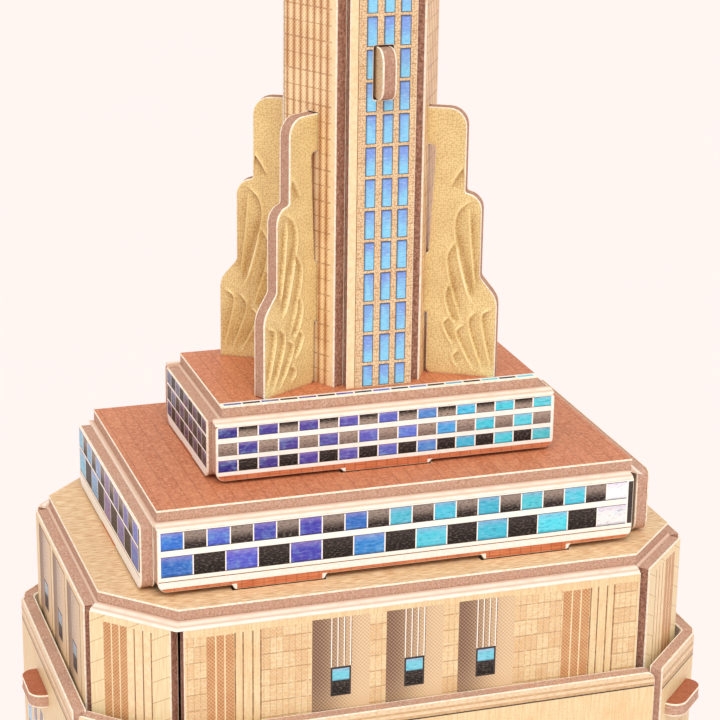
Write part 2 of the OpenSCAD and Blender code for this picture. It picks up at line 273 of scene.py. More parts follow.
def fold():
    """The bent paper along a fold: pinkish near its crease, near white further out."""
    paint = Paint("fold_paper", 0.6, specular=0.3)
    crease = paint.noise(paint.stretched(0.5, 0.5, 2.0), 1.0, 3.0, 0.6)
    away = paint.math("ABSOLUTE", paint.math("SUBTRACT", paint.u, 0.9))
    colour = paint.mix(paint.spread(away, 0.15, 0.65), tone(250, 238, 220), tone(228, 196, 172))
    colour = paint.mix(paint.spread(paint.u, 1.5, 1.9), colour, tone(252, 242, 226))
    colour = paint.tint(colour, crease, 0.4, 0.7, 0.4, tone(232, 200, 174))
    paint.bump(crease, 0.1)
    return paint.colour(colour)


def plain_board():
    """Unprinted back of the board: warm grey-white paper with fibres."""
    paint = Paint("plain_board", 0.8, specular=0.3)
    fibre = paint.noise(paint.spot, 1.4, 4.0, 0.7)
    cloud = paint.noise(paint.spot, 0.08, 2.0)
    colour = paint.mix(paint.spread(fibre, 0.3, 0.7), tone(222, 206, 186), tone(240, 228, 210))
    paint.bump(fibre, 0.08)
    return paint.colour(paint.tint(colour, cloud, 0.4, 0.7, 0.4, tone(214, 190, 166)))


def planks(name, depth):
    """Red-brown planks with faint joints under a fine speckle, mixed towards dark brown by the share given
    as depth.
    """
    paint = Paint(name, 0.5, coat=0.1, specular=0.3)
    streak = paint.grain(paint.v, paint.u, 1.2, 0.35, 4.0)
    speckle = paint.noise(paint.spot, 2.2, 4.0, 0.85)
    plank = paint.math("FLOOR", paint.math("DIVIDE", paint.u, 2.1))
    shade = paint.noise(paint.point(plank, paint.math("DIVIDE", paint.v, 30.0)), 0.83, 1.0)
    colour = paint.mix(paint.spread(speckle, 0.36, 0.64), tone(182, 98, 60), tone(240, 168, 124))
    colour = paint.tint(colour, streak, 0.35, 0.65, 0.45, tone(202, 118, 76))
    colour = paint.tint(colour, shade, 0.3, 0.7, 0.25, tone(236, 162, 118))
    colour = paint.mix(depth, colour, tone(140, 58, 30))
    joint = paint.math("MULTIPLY", paint.lines(paint.u, 2.1, 0.12), 0.4)
    return paint.colour(paint.mix(joint, colour, tone(118, 60, 38)))


def deck_wood():
    """Pale wood print of the terrace: short fine strokes along the long way."""
    paint = Paint("pale_wood_print", 0.5, coat=0.1, specular=0.3)
    streak = paint.grain(paint.u, paint.v, 1.6, 0.22, 4.0)
    wide = paint.grain(paint.u, paint.v, 12.0, 1.2, 3.0)
    colour = paint.mix(paint.spread(streak, 0.36, 0.62), tone(212, 164, 116), tone(246, 216, 172))
    colour = paint.tint(colour, wide, 0.4, 0.7, 0.35, tone(224, 176, 126))
    return paint.colour(colour)


def cream_stone():
    """Plain cream stone print: faint grain and a mottled warm tint."""
    paint = Paint("cream_stone_print", 0.48, coat=0.1)
    streak = paint.grain(paint.v, paint.u, 5.0, 0.22, 3.0)
    cloud = paint.noise(paint.spot, 0.25, 3.0)
    colour = paint.mix(paint.spread(streak, 0.25, 0.75), tone(228, 198, 148), tone(240, 222, 176))
    colour = paint.tint(colour, cloud, 0.45, 0.72, 0.4, tone(232, 182, 126))
    speckle = paint.noise(paint.spot, 2.8, 2.0, 0.6)
    colour = paint.tint(colour, speckle, 0.5, 0.7, 0.4, tone(222, 176, 118))
    paint.bump(streak, 0.03)
    return paint.colour(colour)


def brick_grid():
    """Cream blocks ruled with fine dotted lines, some blocks tinted orange."""
    paint = Paint("block_grid_print", 0.48, coat=0.1)
    streak = paint.grain(paint.u, paint.v, 2.4, 0.2, 3.0)
    colour = paint.mix(paint.spread(streak, 0.25, 0.75), tone(228, 198, 150), tone(240, 222, 178))
    tint = paint.spread(paint.noise(paint.blocks(1.75, 2.35), 0.73, 1.0), 0.46, 0.6, 0.0, 0.5)
    colour = paint.mix(paint.math("MULTIPLY", tint, paint.dots(0.6)), colour, tone(204, 140, 84))
    speckle = paint.noise(paint.spot, 2.8, 2.0, 0.6)
    colour = paint.tint(colour, speckle, 0.45, 0.68, 0.5, tone(222, 170, 108))
    across = paint.lines(paint.v, 2.35, 0.16)
    upright = paint.math("MULTIPLY", paint.lines(paint.u, 0.875, 0.12), 0.6)
    ruled = paint.math("MULTIPLY", paint.math("MAXIMUM", across, upright), paint.broken(0.25))
    return paint.colour(paint.mix(paint.math("MULTIPLY", ruled, 0.62), colour, tone(164, 116, 72)))


def diagonal_stone():
    """Cream panel with thin slanting lines."""
    paint = Paint("slanted_line_print", 0.48, coat=0.1)
    streak = paint.grain(paint.v, paint.u, 4.0, 0.22, 3.0)
    colour = paint.mix(paint.spread(streak, 0.25, 0.75), tone(232, 204, 154), tone(244, 228, 184))
    slant = paint.math("SUBTRACT", paint.v, paint.math("MULTIPLY", paint.u, 0.57))
    line = paint.math("MULTIPLY", paint.lines(slant, 3.1, 0.13), 0.5)
    return paint.colour(paint.mix(line, colour, tone(168, 120, 72)))


def halftone(name, light, dark, cover):
    """Two colours in halftone dots, with the ink a little uneven."""
    paint = Paint(name, 0.48, coat=0.1)
    uneven = paint.spread(paint.noise(paint.spot, 0.5, 3.0), 0.3, 0.7, cover - 0.08, cover + 0.08)
    return paint.colour(paint.mix(paint.dots(uneven), light, dark))


def niche():
    """Recess print: brown at its left in halftone, fading to tan at its right and foot."""
    paint = Paint("recess_print", 0.48, coat=0.1)
    across, up = paint.layer("cell")
    shade = paint.spread(across, 0.0, 0.95, 0.9, 0.12)
    shade = paint.math("SUBTRACT", shade, paint.spread(up, 0.62, 0.2, 0.0, 0.3))
    return paint.colour(paint.mix(paint.dots(shade, 0.5), tone(232, 202, 160), tone(112, 76, 58)))


def foil_window():
    """Iridescent foil: the window's own colour, cloudy and streaked, with pale patches and pale streaks of
    painted reflection, and a violet sheen at its head.
    """
    paint = Paint("foil_window", 0.35, coat=0.2, specular=0.3)
    up = paint.layer("cell")[1]
    cloud = paint.noise(paint.spot, 0.6, 4.0, 0.6)
    wave = paint.grain(paint.u, paint.v, 0.9, 0.3, 4.0)
    # Painted reflection: pale cyan patches where the cloud is high
    colour = paint.mix(paint.spread(cloud, 0.48, 0.72, 0.0, 0.3), paint.ink_and_shading(), tone(150, 214, 240))
    colour = paint.tint(colour, up, 0.6, 1.05, 0.4, tone(186, 160, 214))
    # Painted reflection: pale streaks along the foil's grain
    colour = paint.tint(colour, wave, 0.5, 0.7, 0.18, tone(214, 226, 246))
    colour = paint.tint(colour, wave, 0.48, 0.3, 0.4, tone(20, 34, 110))
    colour = paint.tint(colour, up, 0.14, 0.0, 0.5, tone(14, 40, 96))
    paint.bump(wave, 0.04)
    return paint.colour(colour, paint.spread(cloud, 0.3, 0.7, 0.25, 0.45))


def mast_pane():
    """A mast window: violet-blue at its head, pale cyan at its foot, with painted shade of a recessed edge
    in dark blue along its left side and head.
    """
    paint = Paint("mast_window", 0.35, coat=0.2, specular=0.3)
    across, up = paint.layer("cell")
    wave = paint.grain(paint.u, paint.v, 0.7, 0.25, 4.0)
    cloud = paint.noise(paint.spot, 0.35, 2.0)
    shade = paint.math("ADD", up, paint.spread(cloud, 0.3, 0.7, -0.25, 0.25))
    colour = paint.mix(paint.spread(shade, 0.1, 1.1), tone(134, 210, 244), tone(124, 156, 228))
    colour = paint.tint(colour, wave, 0.5, 0.7, 0.4, tone(196, 226, 250))
    colour = paint.tint(colour, wave, 0.48, 0.3, 0.35, tone(84, 134, 206))
    # Painted shade of the recess: dark blue towards the left side and the head
    left = paint.spread(across, 0.2, 0.0, 0.0, 0.6)
    head = paint.spread(up, 0.92, 1.0, 0.0, 0.7)
    colour = paint.mix(paint.math("MAXIMUM", left, head), colour, tone(44, 76, 130))
    return paint.colour(colour)


def dark_window(name, head, foot, bend=0.5, sheen=0.3):
    """Dark glossy window with wavy streaks; head turns into foot round the height bend."""
    paint = Paint(name, 0.45, coat=0.05, specular=0.15)
    up = paint.layer("cell")[1]
    wave = paint.grain(paint.u, paint.v, 0.45, 0.2, 4.0)
    colour = paint.mix(paint.spread(up, bend - 0.35, bend + 0.35), foot, head)
    colour = paint.tint(colour, wave, 0.5, 0.7, sheen, tone(196, 178, 162))
    colour = paint.tint(colour, wave, 0.5, 0.32, 0.6, tone(24, 20, 20))
    return paint.colour(colour)


def strip_wood():
    """Orange wood print along a tier's foot, with short upright joints."""
    paint = Paint("foot_wood_print", 0.5, coat=0.12)
    streak = paint.grain(paint.u, paint.v, 3.0, 0.14, 4.0)
    colour = paint.mix(paint.spread(streak, 0.28, 0.72), tone(186, 92, 50), tone(226, 142, 96))
    joint = paint.math("MULTIPLY", paint.lines(paint.u, 1.55, 0.14), 0.5)
    return paint.colour(paint.mix(joint, colour, tone(142, 66, 38)))


def mast_stone():
    """Gold stone of the mast's front in fine scattered dots, ruled with faint broken courses."""
    paint = Paint("mast_front_print", 0.48, coat=0.1)
    uneven = paint.spread(paint.noise(paint.spot, 0.4, 3.0), 0.3, 0.7, 0.3, 0.5)
    colour = paint.mix(paint.stipple(uneven, 0.6, 0.32), tone(242, 218, 174), tone(188, 138, 92))
    course = paint.math("MULTIPLY", paint.lines(paint.v, PANE_PITCH, 0.18, 1.1), paint.broken(0.2))
    return paint.colour(paint.mix(paint.math("MULTIPLY", course, 0.45), colour, tone(150, 98, 58)))


def mast_stripes():
    """Soft upright gold and orange stripes of the mast's slanted faces, with dotted courses."""
    paint = Paint("mast_side_print", 0.48, coat=0.1)
    turn = paint.math("MULTIPLY", paint.u, 2 * math.pi / 1.23)
    stripe = paint.math("MULTIPLY_ADD", paint.math("SINE", turn), 0.5, 0.5)
    patch = paint.spread(paint.noise(paint.spot, 0.18, 2.0), 0.4, 0.65, -0.1, 0.14)
    cover = paint.math("ADD", paint.math("MULTIPLY_ADD", stripe, 0.7, 0.06), patch)
    colour = paint.mix(paint.dots(cover, 0.5), tone(252, 224, 174), tone(186, 122, 68))
    course = paint.math("MAXIMUM", paint.lines(paint.v, 4.4, 0.22), paint.lines(paint.v, 2.2, 0.14))
    course = paint.math("MULTIPLY", course, 0.8)
    upright = paint.lines(paint.u, 1.23, 0.2, 0.3)
    ruled = paint.math("MULTIPLY", paint.math("MAXIMUM", course, upright), paint.broken(0.2))
    return paint.colour(paint.mix(paint.math("MULTIPLY", ruled, 0.8), colour, tone(158, 102, 58)))


def gold_emboss():
    """Pressed gold card in scattered dots, with painted shade in its hollows and a painted highlight on its
    ridges.

    The colour attribute says how deep a point lies in its first part, how high in its second, for that
    painted shade and highlight.
    """
    paint = Paint("gold_emboss_print", 0.45, coat=0.15)
    relief_shading = paint.node("ShaderNodeSeparateXYZ", {0: paint.ink_and_shading()})
    uneven = paint.spread(paint.noise(paint.spot, 0.3, 3.0), 0.3, 0.7, 0.3, 0.46)
    # Painted shade: more dark dots in the hollows; painted highlight: fewer on the ridges
    cover = paint.math("MULTIPLY_ADD", relief_shading.outputs[0], 0.5, uneven)
    cover = paint.math("MULTIPLY_ADD", relief_shading.outputs[1], -0.5, cover)
    colour = paint.mix(paint.stipple(cover, 0.4, 0.32), tone(247, 224, 160), tone(186, 146, 88))
    # Painted highlight: the ridges mixed towards pale cream
    ridge = paint.spread(relief_shading.outputs[1], 0.4, 0.95, 0.0, 0.6)
    return paint.colour(paint.mix(ridge, colour, tone(252, 236, 190)))


def flat_ink(name, colour, other):
    """A printed line or area of one ink, slightly uneven."""
    paint = Paint(name, 0.5, coat=0.1)
    uneven = paint.spread(paint.noise(paint.spot, 1.6, 3.0), 0.35, 0.7)
    return paint.colour(paint.mix(uneven, colour, other))


def paving():
    """Pavement print of the base: pale slabs with darker joints."""
    paint = Paint("paving_print", 0.6)
    shade = paint.noise(paint.blocks(4.0, 4.0), 0.83, 1.0)
    fine = paint.noise(paint.spot, 1.8, 4.0, 0.7)
    colour = paint.mix(paint.spread(shade, 0.3, 0.7), tone(186, 172, 154), tone(214, 202, 184))
    colour = paint.tint(colour, fine, 0.4, 0.75, 0.4, tone(160, 146, 130))
    joint = paint.math("MAXIMUM", paint.lines(paint.u, 4.0, 0.2), paint.lines(paint.v, 4.0, 0.2))
    paint.bump(paint.math("SUBTRACT", fine, joint), 0.06)
    return paint.colour(paint.mix(paint.math("MULTIPLY", joint, 0.6), colour, tone(130, 114, 98)))


def steel():
    """Grey-violet panels between a window column's floors."""
    paint = Paint("spandrel_print", 0.4, coat=0.2)
    streak = paint.grain(paint.v, paint.u, 3.0, 0.18, 3.0)
    return paint.colour(paint.mix(paint.spread(streak, 0.3, 0.7), tone(118, 102, 112), tone(158, 142, 150)))


def antenna_ink():
    """Silver-grey lattice print of the antenna."""
    paint = Paint("antenna_print", 0.4, coat=0.2)
    streak = paint.grain(paint.v, paint.u, 2.0, 0.16, 3.0)
    colour = paint.mix(paint.spread(streak, 0.3, 0.7), tone(176, 170, 168), tone(212, 208, 204))
    first = paint.lines(paint.math("ADD", paint.v, paint.u), 2.6, 0.24)
    second = paint.lines(paint.math("SUBTRACT", paint.v, paint.u), 2.6, 0.24)
    line = paint.math("MULTIPLY", paint.math("MAXIMUM", first, second), 0.6)
    return paint.colour(paint.mix(line, colour, tone(96, 90, 92)))


LOOKS = {
    "foam": foam("foam_core", 0.0),
    # Foam darkened with painted shade, for board edges turned away from the light
    "edge": foam("foam_edge_painted_shade", 0.3),
    "groove": shaded_foam(),
    "paper": paper(),
    "fold": fold(),
    "plain": plain_board(),
    "planks": planks("plank_print", 0.14),
    "floor": planks("floor_print", 0.62),
    "deck": deck_wood(),
    "stone": cream_stone(),
    "grid": brick_grid(),
    "diagonal": diagonal_stone(),
    "orange": halftone("orange_halftone", tone(230, 190, 136), tone(174, 104, 54), 0.54),
    "niche": niche(),
    "foil": foil_window(),
    "pane": mast_pane(),
    # Dark smoked glass whose pale taupe head is a painted sheen
    "smoke_and_sheen": dark_window("smoked_window_and_sheen", tone(150, 134, 124), tone(44, 36, 34)),
    "taupe": dark_window("taupe_window", tone(172, 152, 138), tone(136, 118, 108)),
    "shade": dark_window("shaded_window", tone(30, 24, 22), tone(164, 146, 132), 0.6),
    "black": dark_window("black_window", tone(56, 48, 46), tone(34, 29, 27), 0.5, 0.2),
    "streaked": dark_window("streaked_window", tone(92, 80, 74), tone(52, 44, 42), 0.5, 0.3),
    "foot": strip_wood(),
    "mast": mast_stone(),
    "stripes": mast_stripes(),
    "gold": gold_emboss(),
    "white": flat_ink("white_ink", tone(255, 253, 246), tone(252, 245, 232)),
    "cream": flat_ink("cream_ink", tone(248, 224, 180), tone(240, 208, 160)),
    "lip": flat_ink("lip_ink", tone(240, 214, 176), tone(222, 192, 152)),
    "lip_shade": flat_ink("lip_shade_ink", tone(198, 160, 114), tone(218, 184, 136)),
    "line": flat_ink("brown_ink", tone(128, 88, 54), tone(184, 138, 92)),
    "dark": flat_ink("dark_ink", tone(40, 32, 30), tone(64, 52, 46)),
    "paving": paving(),
    "steel": steel(),
    "antenna": antenna_ink(),
}


# ---------- outlines ----------

def rounded(corners, step=15):
    """An outline through (u, v, radius) corners, each corner an arc of that radius."""
    points = []
    count = len(corners)
    for index, (u, v, radius) in enumerate(corners):
        here = Vector((u, v))
        if radius == 0:
            points.append(here)
            continue
        before = (Vector(corners[index - 1][:2]) - here).normalized()
        after = (Vector(corners[(index + 1) % count][:2]) - here).normalized()
        half = before.angle(after) / 2
        centre = here + (before + after).normalized() * radius / math.sin(half)
        start = here + before * radius / math.tan(half) - centre
        turn = math.pi - 2 * half
        if before.cross(after) > 0:
            turn = -turn
        steps = max(1, round(abs(math.degrees(turn)) / step))
        for k in range(steps + 1):
            angle = turn * k / steps
            points.append(centre + Vector((
                start.x * math.cos(angle) - start.y * math.sin(angle),
                start.x * math.sin(angle) + start.y * math.cos(angle),
            )))
    return points


def box_outline(left, bottom, right, top, low=0.0, high=0.0):
    """A rectangle with rounded lower and upper corners."""
    return rounded([(left, bottom, low), (right, bottom, low), (right, top, high), (left, top, high)])


def mitres(points):
    """For each corner of a counter-clockwise outline, the step outwards that moves both its sides by 1."""
    steps = []
    for index, here in enumerate(points):
        into = (here - points[index - 1]).normalized()
        out = (points[(index + 1) % len(points)] - here).normalized()
        first = Vector((into.y, -into.x))
        second = Vector((out.y, -out.x))
        steps.append((first + second) / max(0.3, 1 + first.dot(second)))
    return steps


def moved_out(points, distance):
    return [point + step * distance for point, step in zip(points, mitres(points))]


def ring(half_x, half_y, cut=0.0):
    """Plan of a tier: a rectangle, or one with cut corners, counter-clockwise from the front left."""
    inner_x, inner_y = half_x - cut, half_y - cut
    if cut == 0:
        corners = ((-half_x, -half_y), (half_x, -half_y), (half_x, half_y), (-half_x, half_y))
    else:
        corners = (
            (-inner_x, -half_y), (inner_x, -half_y), (half_x, -inner_y), (half_x, inner_y),
            (inner_x, half_y), (-inner_x, half_y), (-half_x, inner_y), (-half_x, -inner_y),
        )
    return [Vector(corner) for corner in corners]


def regular(radius, sides, first=0.0):
    """A regular polygon whose first corner lies at the given angle in degrees."""
    turns = [math.radians(first + 360 * k / sides) for k in range(sides)]
    return [Vector((radius * math.cos(turn), radius * math.sin(turn))) for turn in turns]


# ---------- places, prints and pieces ----------

UNIT_BOX = (0, 0, 1, 1)
# How flat faces are cut into triangles: only inside the outlines, merging points closer than this
INSIDE_ONLY = 1
MERGE = 1e-4


class Place:
    """A flat spot on the object: its origin, and the directions along it, up it and out of it."""

    def __init__(self, origin, along, up):
        self.origin = Vector(origin)
        self.along = Vector(along).normalized()
        self.up = Vector(up).normalized()
        self.out = self.along.cross(self.up)

    def point(self, u, v, n=0.0):
        return self.origin + self.along * u + self.up * v + self.out * n


def facing(out, x, y, z):
    """A spot on an upright face that looks towards out; heights on it are measured from z."""
    return Place((x, y, z), (-out[1], out[0], 0), (0, 0, 1))


def level(z):
    """The top of a flat board at height z."""
    return Place((0, 0, z), (1, 0, 0), (0, 1, 0))


def side_of(plan, index, z, proud=BOARD):
    """The face outside one side of a plan, and that side's length."""
    start, end = plan[index], plan[(index + 1) % len(plan)]
    run = (end - start).normalized()
    out = Vector((run.y, -run.x))
    middle = (start + end) / 2 + out * proud
    return facing(out, middle.x, middle.y, z), (end - start).length


class Print:
    """What is printed on one face: areas in its own millimetres, later ones over earlier ones."""

    def __init__(self, base, mirrored=False):
        self.base = base
        self.mirrored = mirrored
        self.areas = []

    def area(self, left, bottom, right, top, look, ink_and_shading=NO_INK):
        corners = [Vector(p) for p in ((left, bottom), (right, bottom), (right, top), (left, top))]
        self.areas.append((corners, look, ink_and_shading, (left, bottom, right - left, top - bottom)))

    def upright(self, u, bottom, top, width, look):
        self.area(u - width / 2, bottom, u + width / 2, top, look)

    def across(self, v, left, right, width, look):
        self.area(left, v - width / 2, right, v + width / 2, look)


class Piece:
    """Collects the faces of one visible piece and makes its object."""

    def __init__(self, ends="foam", core="foam"):
        """ends is the look of the foam on a board's steep edges, core its look on all others."""
        self.ends = ends
        self.core = core
        self.points = []
        self.faces = []

    def add(self, point):
        self.points.append(point * MM)
        return len(self.points) - 1

    def face(self, corners, look, spots, box=UNIT_BOX, ink_and_shading=NO_INK):
        self.faces.append((corners, look, spots, box, ink_and_shading))

    def board(self, place, outline, design, holes=(), thickness=BOARD, back="plain",
              relief=None, both=False, narrow=(0.0, 0.0)):
        """A sheet of board: printed face, rounded paper edges, foam between them, and its back."""
        outer = [moved_out(outline, -RIM)]
        outer += [moved_out(hole, RIM) for hole in holes]
        polygons = outer + [area[0] for area in design.areas]
        spots = [point for polygon in polygons for point in polygon]
        indices, first = [], 0
        for polygon in polygons:
            indices.append(list(range(first, first + len(polygon))))
            first += len(polygon)
        if relief:
            spots += relief.grid(outer[0])
        flat, _, triangles, _, _, owners = delaunay_2d_cdt(spots, [], indices, INSIDE_ONLY, MERGE)
        kept = []
        for triangle, owner in zip(triangles, owners):
            if 0 in owner and not any(1 <= k <= len(holes) for k in owner):
                a, b, c = (flat[k] for k in triangle)
                if (b - a).cross(c - a) < 0:
                    triangle = triangle[::-1]
                kept.append((list(triangle), max(owner) - len(outer)))
        height = relief.height if relief else (lambda u, v: 0.0)
        mark = {k: height(*flat[k]) for k in {k for t, _ in kept for k in t}}
        sides = [(1, 0.0)] + ([(-1, -thickness)] if both else [])
        tops = {}
        for sign, base in sides:
            tops[sign] = {k: self.add(place.point(*flat[k], base + sign * mark[k])) for k in mark}
            for triangle, area in kept:
                look, ink_and_shading, box = design.base, NO_INK, UNIT_BOX
                if area >= 0:
                    _, look, ink_and_shading, box = design.areas[area]
                corners = [tops[sign][k] for k in triangle][::sign]
                where = [flat[k] for k in triangle][::sign]
                if design.mirrored:
                    where = [Vector((-p.x, p.y)) for p in where]
                # On a relief, the colour attribute carries painted shade and highlight from each point's
                # height
                if relief:
                    ink_and_shading = tuple(relief.shade(mark[k]) for k in triangle[::sign])
                self.face(corners, look, where, box, ink_and_shading)
        self.rim(place, flat, [t for t, _ in kept], tops, thickness, back, narrow)

    def rim(self, place, flat, triangles, tops, thickness, back, narrow):
        """The board's edge all round its outline and holes, and its plain back if it has one."""
        edges = {(t[k], t[(k + 1) % 3]) for t in triangles for k in range(3)}
        follow = {a: b for a, b in edges if (b, a) not in edges}
        curl, sunk, step_in = 0.6 * RIM, 0.2 * RIM, 0.05
        profile = [
            (curl, curl - RIM, "paper"), (RIM, -RIM, "paper"), (RIM, -PAPER, "paper"),
            (sunk, -PAPER - step_in, "foam"), (sunk, PAPER + step_in - thickness, "foam"),
            (RIM, PAPER - thickness, "foam"), (RIM, RIM - thickness, "paper"),
            (curl, RIM - curl - thickness, "paper"), (0.0, -thickness, "paper"),
        ]
        backs = []
        while follow:
            start, loop = next(iter(follow)), []
            here = start
            while here in follow:
                loop.append(here)
                here = follow.pop(here)
            corners = [flat[k] for k in loop]
            steps = mitres(corners)
            upper = [tops[1][k] for k in loop]
            for index, (out, depth, look) in enumerate(profile):
                if index == len(profile) - 1 and -1 in tops:
                    lower = [tops[-1][k] for k in loop]
                else:
                    spots = [p + step * out for p, step in zip(corners, steps)]
                    left, right = (-depth / thickness * side for side in narrow)
                    spots = [Vector((p.x - right if p.x > 0 else p.x + left, p.y)) for p in spots]
                    lower = [self.add(place.point(*p, depth)) for p in spots]
                for k in range(len(loop)):
                    n = (k + 1) % len(loop)
                    where = [corners[k], corners[n], corners[n], corners[k]]
                    run = corners[n] - corners[k]
                    # Steep edges take the piece's ends look; the groove and edge looks are foam darkened
                    # with painted shade
                    steep = place.up.z > 0.5 and abs(run.y) > abs(run.x)
                    side = look
                    if look == "foam":
                        side = self.ends if steep else self.core
                    self.face([lower[k], lower[n], upper[n], upper[k]], side, where)
                upper = lower
            backs.append((corners, upper))
        if -1 not in tops:
            flat_loops = [[Vector((p.x, p.y, 0)) for p in corners] for corners, _ in backs]
            every = [k for _, loop in backs for k in loop]
            where = [p for corners, _ in backs for p in corners]
            for triangle in tessellate_polygon(flat_loops):
                a, b, c = (where[k] for k in triangle)
                if (b - a).cross(c - a) > 0:
                    triangle = triangle[::-1]
                self.face([every[k] for k in triangle], back, [where[k] for k in triangle])

    def bead(self, sections, z, profile, look):
        """A strip through (middle, outward step, size) sections.

        Its profile is a list of (outwards, up) points.
        """
        rings = []
        for middle, step, size in sections:
            spots = [(middle + step * n * size, z + up * size) for n, up in profile]
            rings.append([self.add(Vector((*spot, height))) for spot, height in spots])
        flat = [Vector(point) for point in profile]
        for start, end in zip(rings, rings[1:]):
            for k in range(len(profile)):
                n = (k + 1) % len(profile)
                self.face([start[k], end[k], end[n], start[n]], look, [flat[k], flat[k], flat[n], flat[n]])
        self.face(rings[0], look, flat)
        self.face(rings[-1][::-1], look, flat[::-1])

    def make(self, name, slot, *nodes, smooth=20):
        """The piece's object, shown in place of the CAD nodes; smooth is in degrees."""
        mesh = bpy.data.meshes.new(name)
        mesh.from_pydata(self.points, [], [face[0] for face in self.faces])
        looks = []
        for _, look, _, _, _ in self.faces:
            if look not in looks:
                looks.append(look)
        for look in looks:
            mesh.materials.append(LOOKS[look])
        mesh.polygons.foreach_set("material_index", [looks.index(face[1]) for face in self.faces])
        mesh.polygons.foreach_set("use_smooth", [True] * len(self.faces))
        for layer in ("print", "cell"):
            mesh.uv_layers.new(name=layer)
        mesh.color_attributes.new("ink_and_shading", "FLOAT_COLOR", "CORNER")
        where, cells, colours = [], [], []
        for _, _, spots, (left, bottom, width, height), ink_and_shading in self.faces:
            for k, spot in enumerate(spots):
                where += [spot.x, spot.y]
                cells += [(spot.x - left) / width, (spot.y - bottom) / height]
                colours += ink_and_shading[k] if isinstance(ink_and_shading[0], tuple) else ink_and_shading
        mesh.uv_layers["print"].uv.foreach_set("vector", where)
        mesh.uv_layers["cell"].uv.foreach_set("vector", cells)
        mesh.color_attributes["ink_and_shading"].data.foreach_set("color", colours)
        mesh.set_sharp_from_angle(angle=math.radians(smooth))
        made = bpy.data.objects.new(name, mesh)
        bpy.context.scene.collection.objects.link(made)
        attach(made, "root")
        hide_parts(*nodes)


def span(node):
    """A CAD node's lowest and highest corner in millimetres."""
    low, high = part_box(node)
    return low / MM, high / MM


# ---------- window prints ----------

def chequer(design, rows, first_dark, left, right, colours, gap=0.22):
    """Rows of alternating foil and dark windows. A row is (bottom, top, number of windows, dark look)."""
    for number, (bottom, top, count, dark) in enumerate(rows):
        pitch = (right - left) / count
        for k in range(count):
            start = left + k * pitch
            if (k + first_dark[number]) % 2:
                design.area(start, bottom, start + pitch - gap, top, dark)
            else:
                ink_and_shading = foil(colours, k / max(1, count - 1))
                design.area(start, bottom, start + pitch - gap, top, "foil", ink_and_shading)


def window_column(design, centre, width, bottom, top, pitch):
    """A column of windows with a grey panel under each, between two white frames."""
    design.upright(centre, bottom, top, width + 0.6, "white")
    design.upright(centre, bottom, top, width, "steel")
    left, right = centre - width / 2 + 0.12, centre + width / 2 - 0.12
    floors = int((top - bottom) / pitch)
    for k in range(floors):
        foot = bottom + k * pitch + pitch * 0.34
        ink_and_shading = foil(TOWER_FOIL, k / floors)
        design.area(left, foot, right, foot + pitch * 0.6, "foil", ink_and_shading)


def colonnade(design, left, right, bottom, top, count, width, pitch):
    """Evenly spaced window columns."""
    space = (right - left) / count
    for k in range(count):
        window_column(design, left + space * (k + 0.5), width, bottom, top, pitch)


# ---------- deck prints ----------

# How much of each side of the deck's plan its cut corners take
DECK_CUT = 9.0
# The deck's prints start this far below its roof and reach past its flaps' feet
DECK_HEAD = -3.0
SHORT_HEAD = -3.2
DECK_FOOT = -24.0
# Width of the thin brown lines and of the cream lines between orange stripes
LINE_W = 0.19
CREAM_LINE_W = 0.2
# A little window: how far its head, its middle and its foot lie below the recess's head, and its width
HEAD_DROP, SILL_DROP, FOOT_DROP, WINDOW_W = 7.35, 9.4, 11.7, 2.9


def small_window(design, left, top, glass):
    """Four narrow lines that hang down to a little window, glass over black."""
    head, sill, foot = top - HEAD_DROP, top - SILL_DROP, top - FOOT_DROP
    for k in range(4):
        design.upright(left + 0.9 * k, head, top, 0.14, "white")
        design.upright(left + 0.9 * k + 0.13, head, top, 0.12, "line")
    frame_left = left - 0.1
    design.area(frame_left, foot, frame_left + WINDOW_W, head, "dark")
    design.area(frame_left + 0.25, sill, frame_left + WINDOW_W - 0.25, head - 0.3, "foil", glass)
    design.area(frame_left + 0.25, foot + 0.2, frame_left + WINDOW_W - 0.25, sill, "black")


def orange_stripe(design, left, right, foot, top):
    """Three orange bands with cream lines between them."""
    design.area(left, foot, right, top, "orange")
    for share in (1 / 3, 2 / 3):
        design.upright(left + (right - left) * share, foot, top, CREAM_LINE_W, "cream")


def deck_long_face():
    """Three recesses between ruled blocks, with an orange stripe and four lines near each end."""
    design = Print("stone")
    blocks = ((-32.6, -29.75), (-22.25, -15.25), (-6.95, -4.6), (3.6, 5.85), (14.05, 21.25), (28.75, 32.5))
    for left, right in blocks:
        design.area(left, DECK_FOOT, right, DECK_HEAD - 0.25, "grid")
    for left, right in ((-29.75, -26.0), (21.25, 25.25)):
        orange_stripe(design, left, right, DECK_FOOT, DECK_HEAD - 0.45)
    for start in (-26.0, 25.25):
        for shift in (0.15, 1.25, 2.6, 3.7):
            design.upright(start + shift, DECK_FOOT, DECK_HEAD - 0.35, LINE_W, "line")
    for left in (-15.15, -4.6, 5.85):
        design.area(left, DECK_FOOT, left + 8.2, DECK_HEAD, "niche")
        small_window(design, left + 2.75, DECK_HEAD, tone(116, 208, 226))
    return design


def deck_cut_face(half, side):
    """A cut corner's cream and orange stripes; side is 1 where the long face lies to its right."""
    design = Print("diagonal", mirrored=side < 0)
    for look, first, last, line, line_w, starts in (
        ("cream", 2.95, 6.75, "line", LINE_W, (2.95, 4.25, 5.6)),
        ("orange", 6.75, 10.45, "cream", CREAM_LINE_W, (7.95, 9.2)),
    ):
        left, right = sorted((side * (half - first), side * (half - last)))
        design.area(left, DECK_FOOT, right, SHORT_HEAD, look)
        for start in starts:
            design.upright(side * (half - start), DECK_FOOT, SHORT_HEAD, line_w, line)
    return design


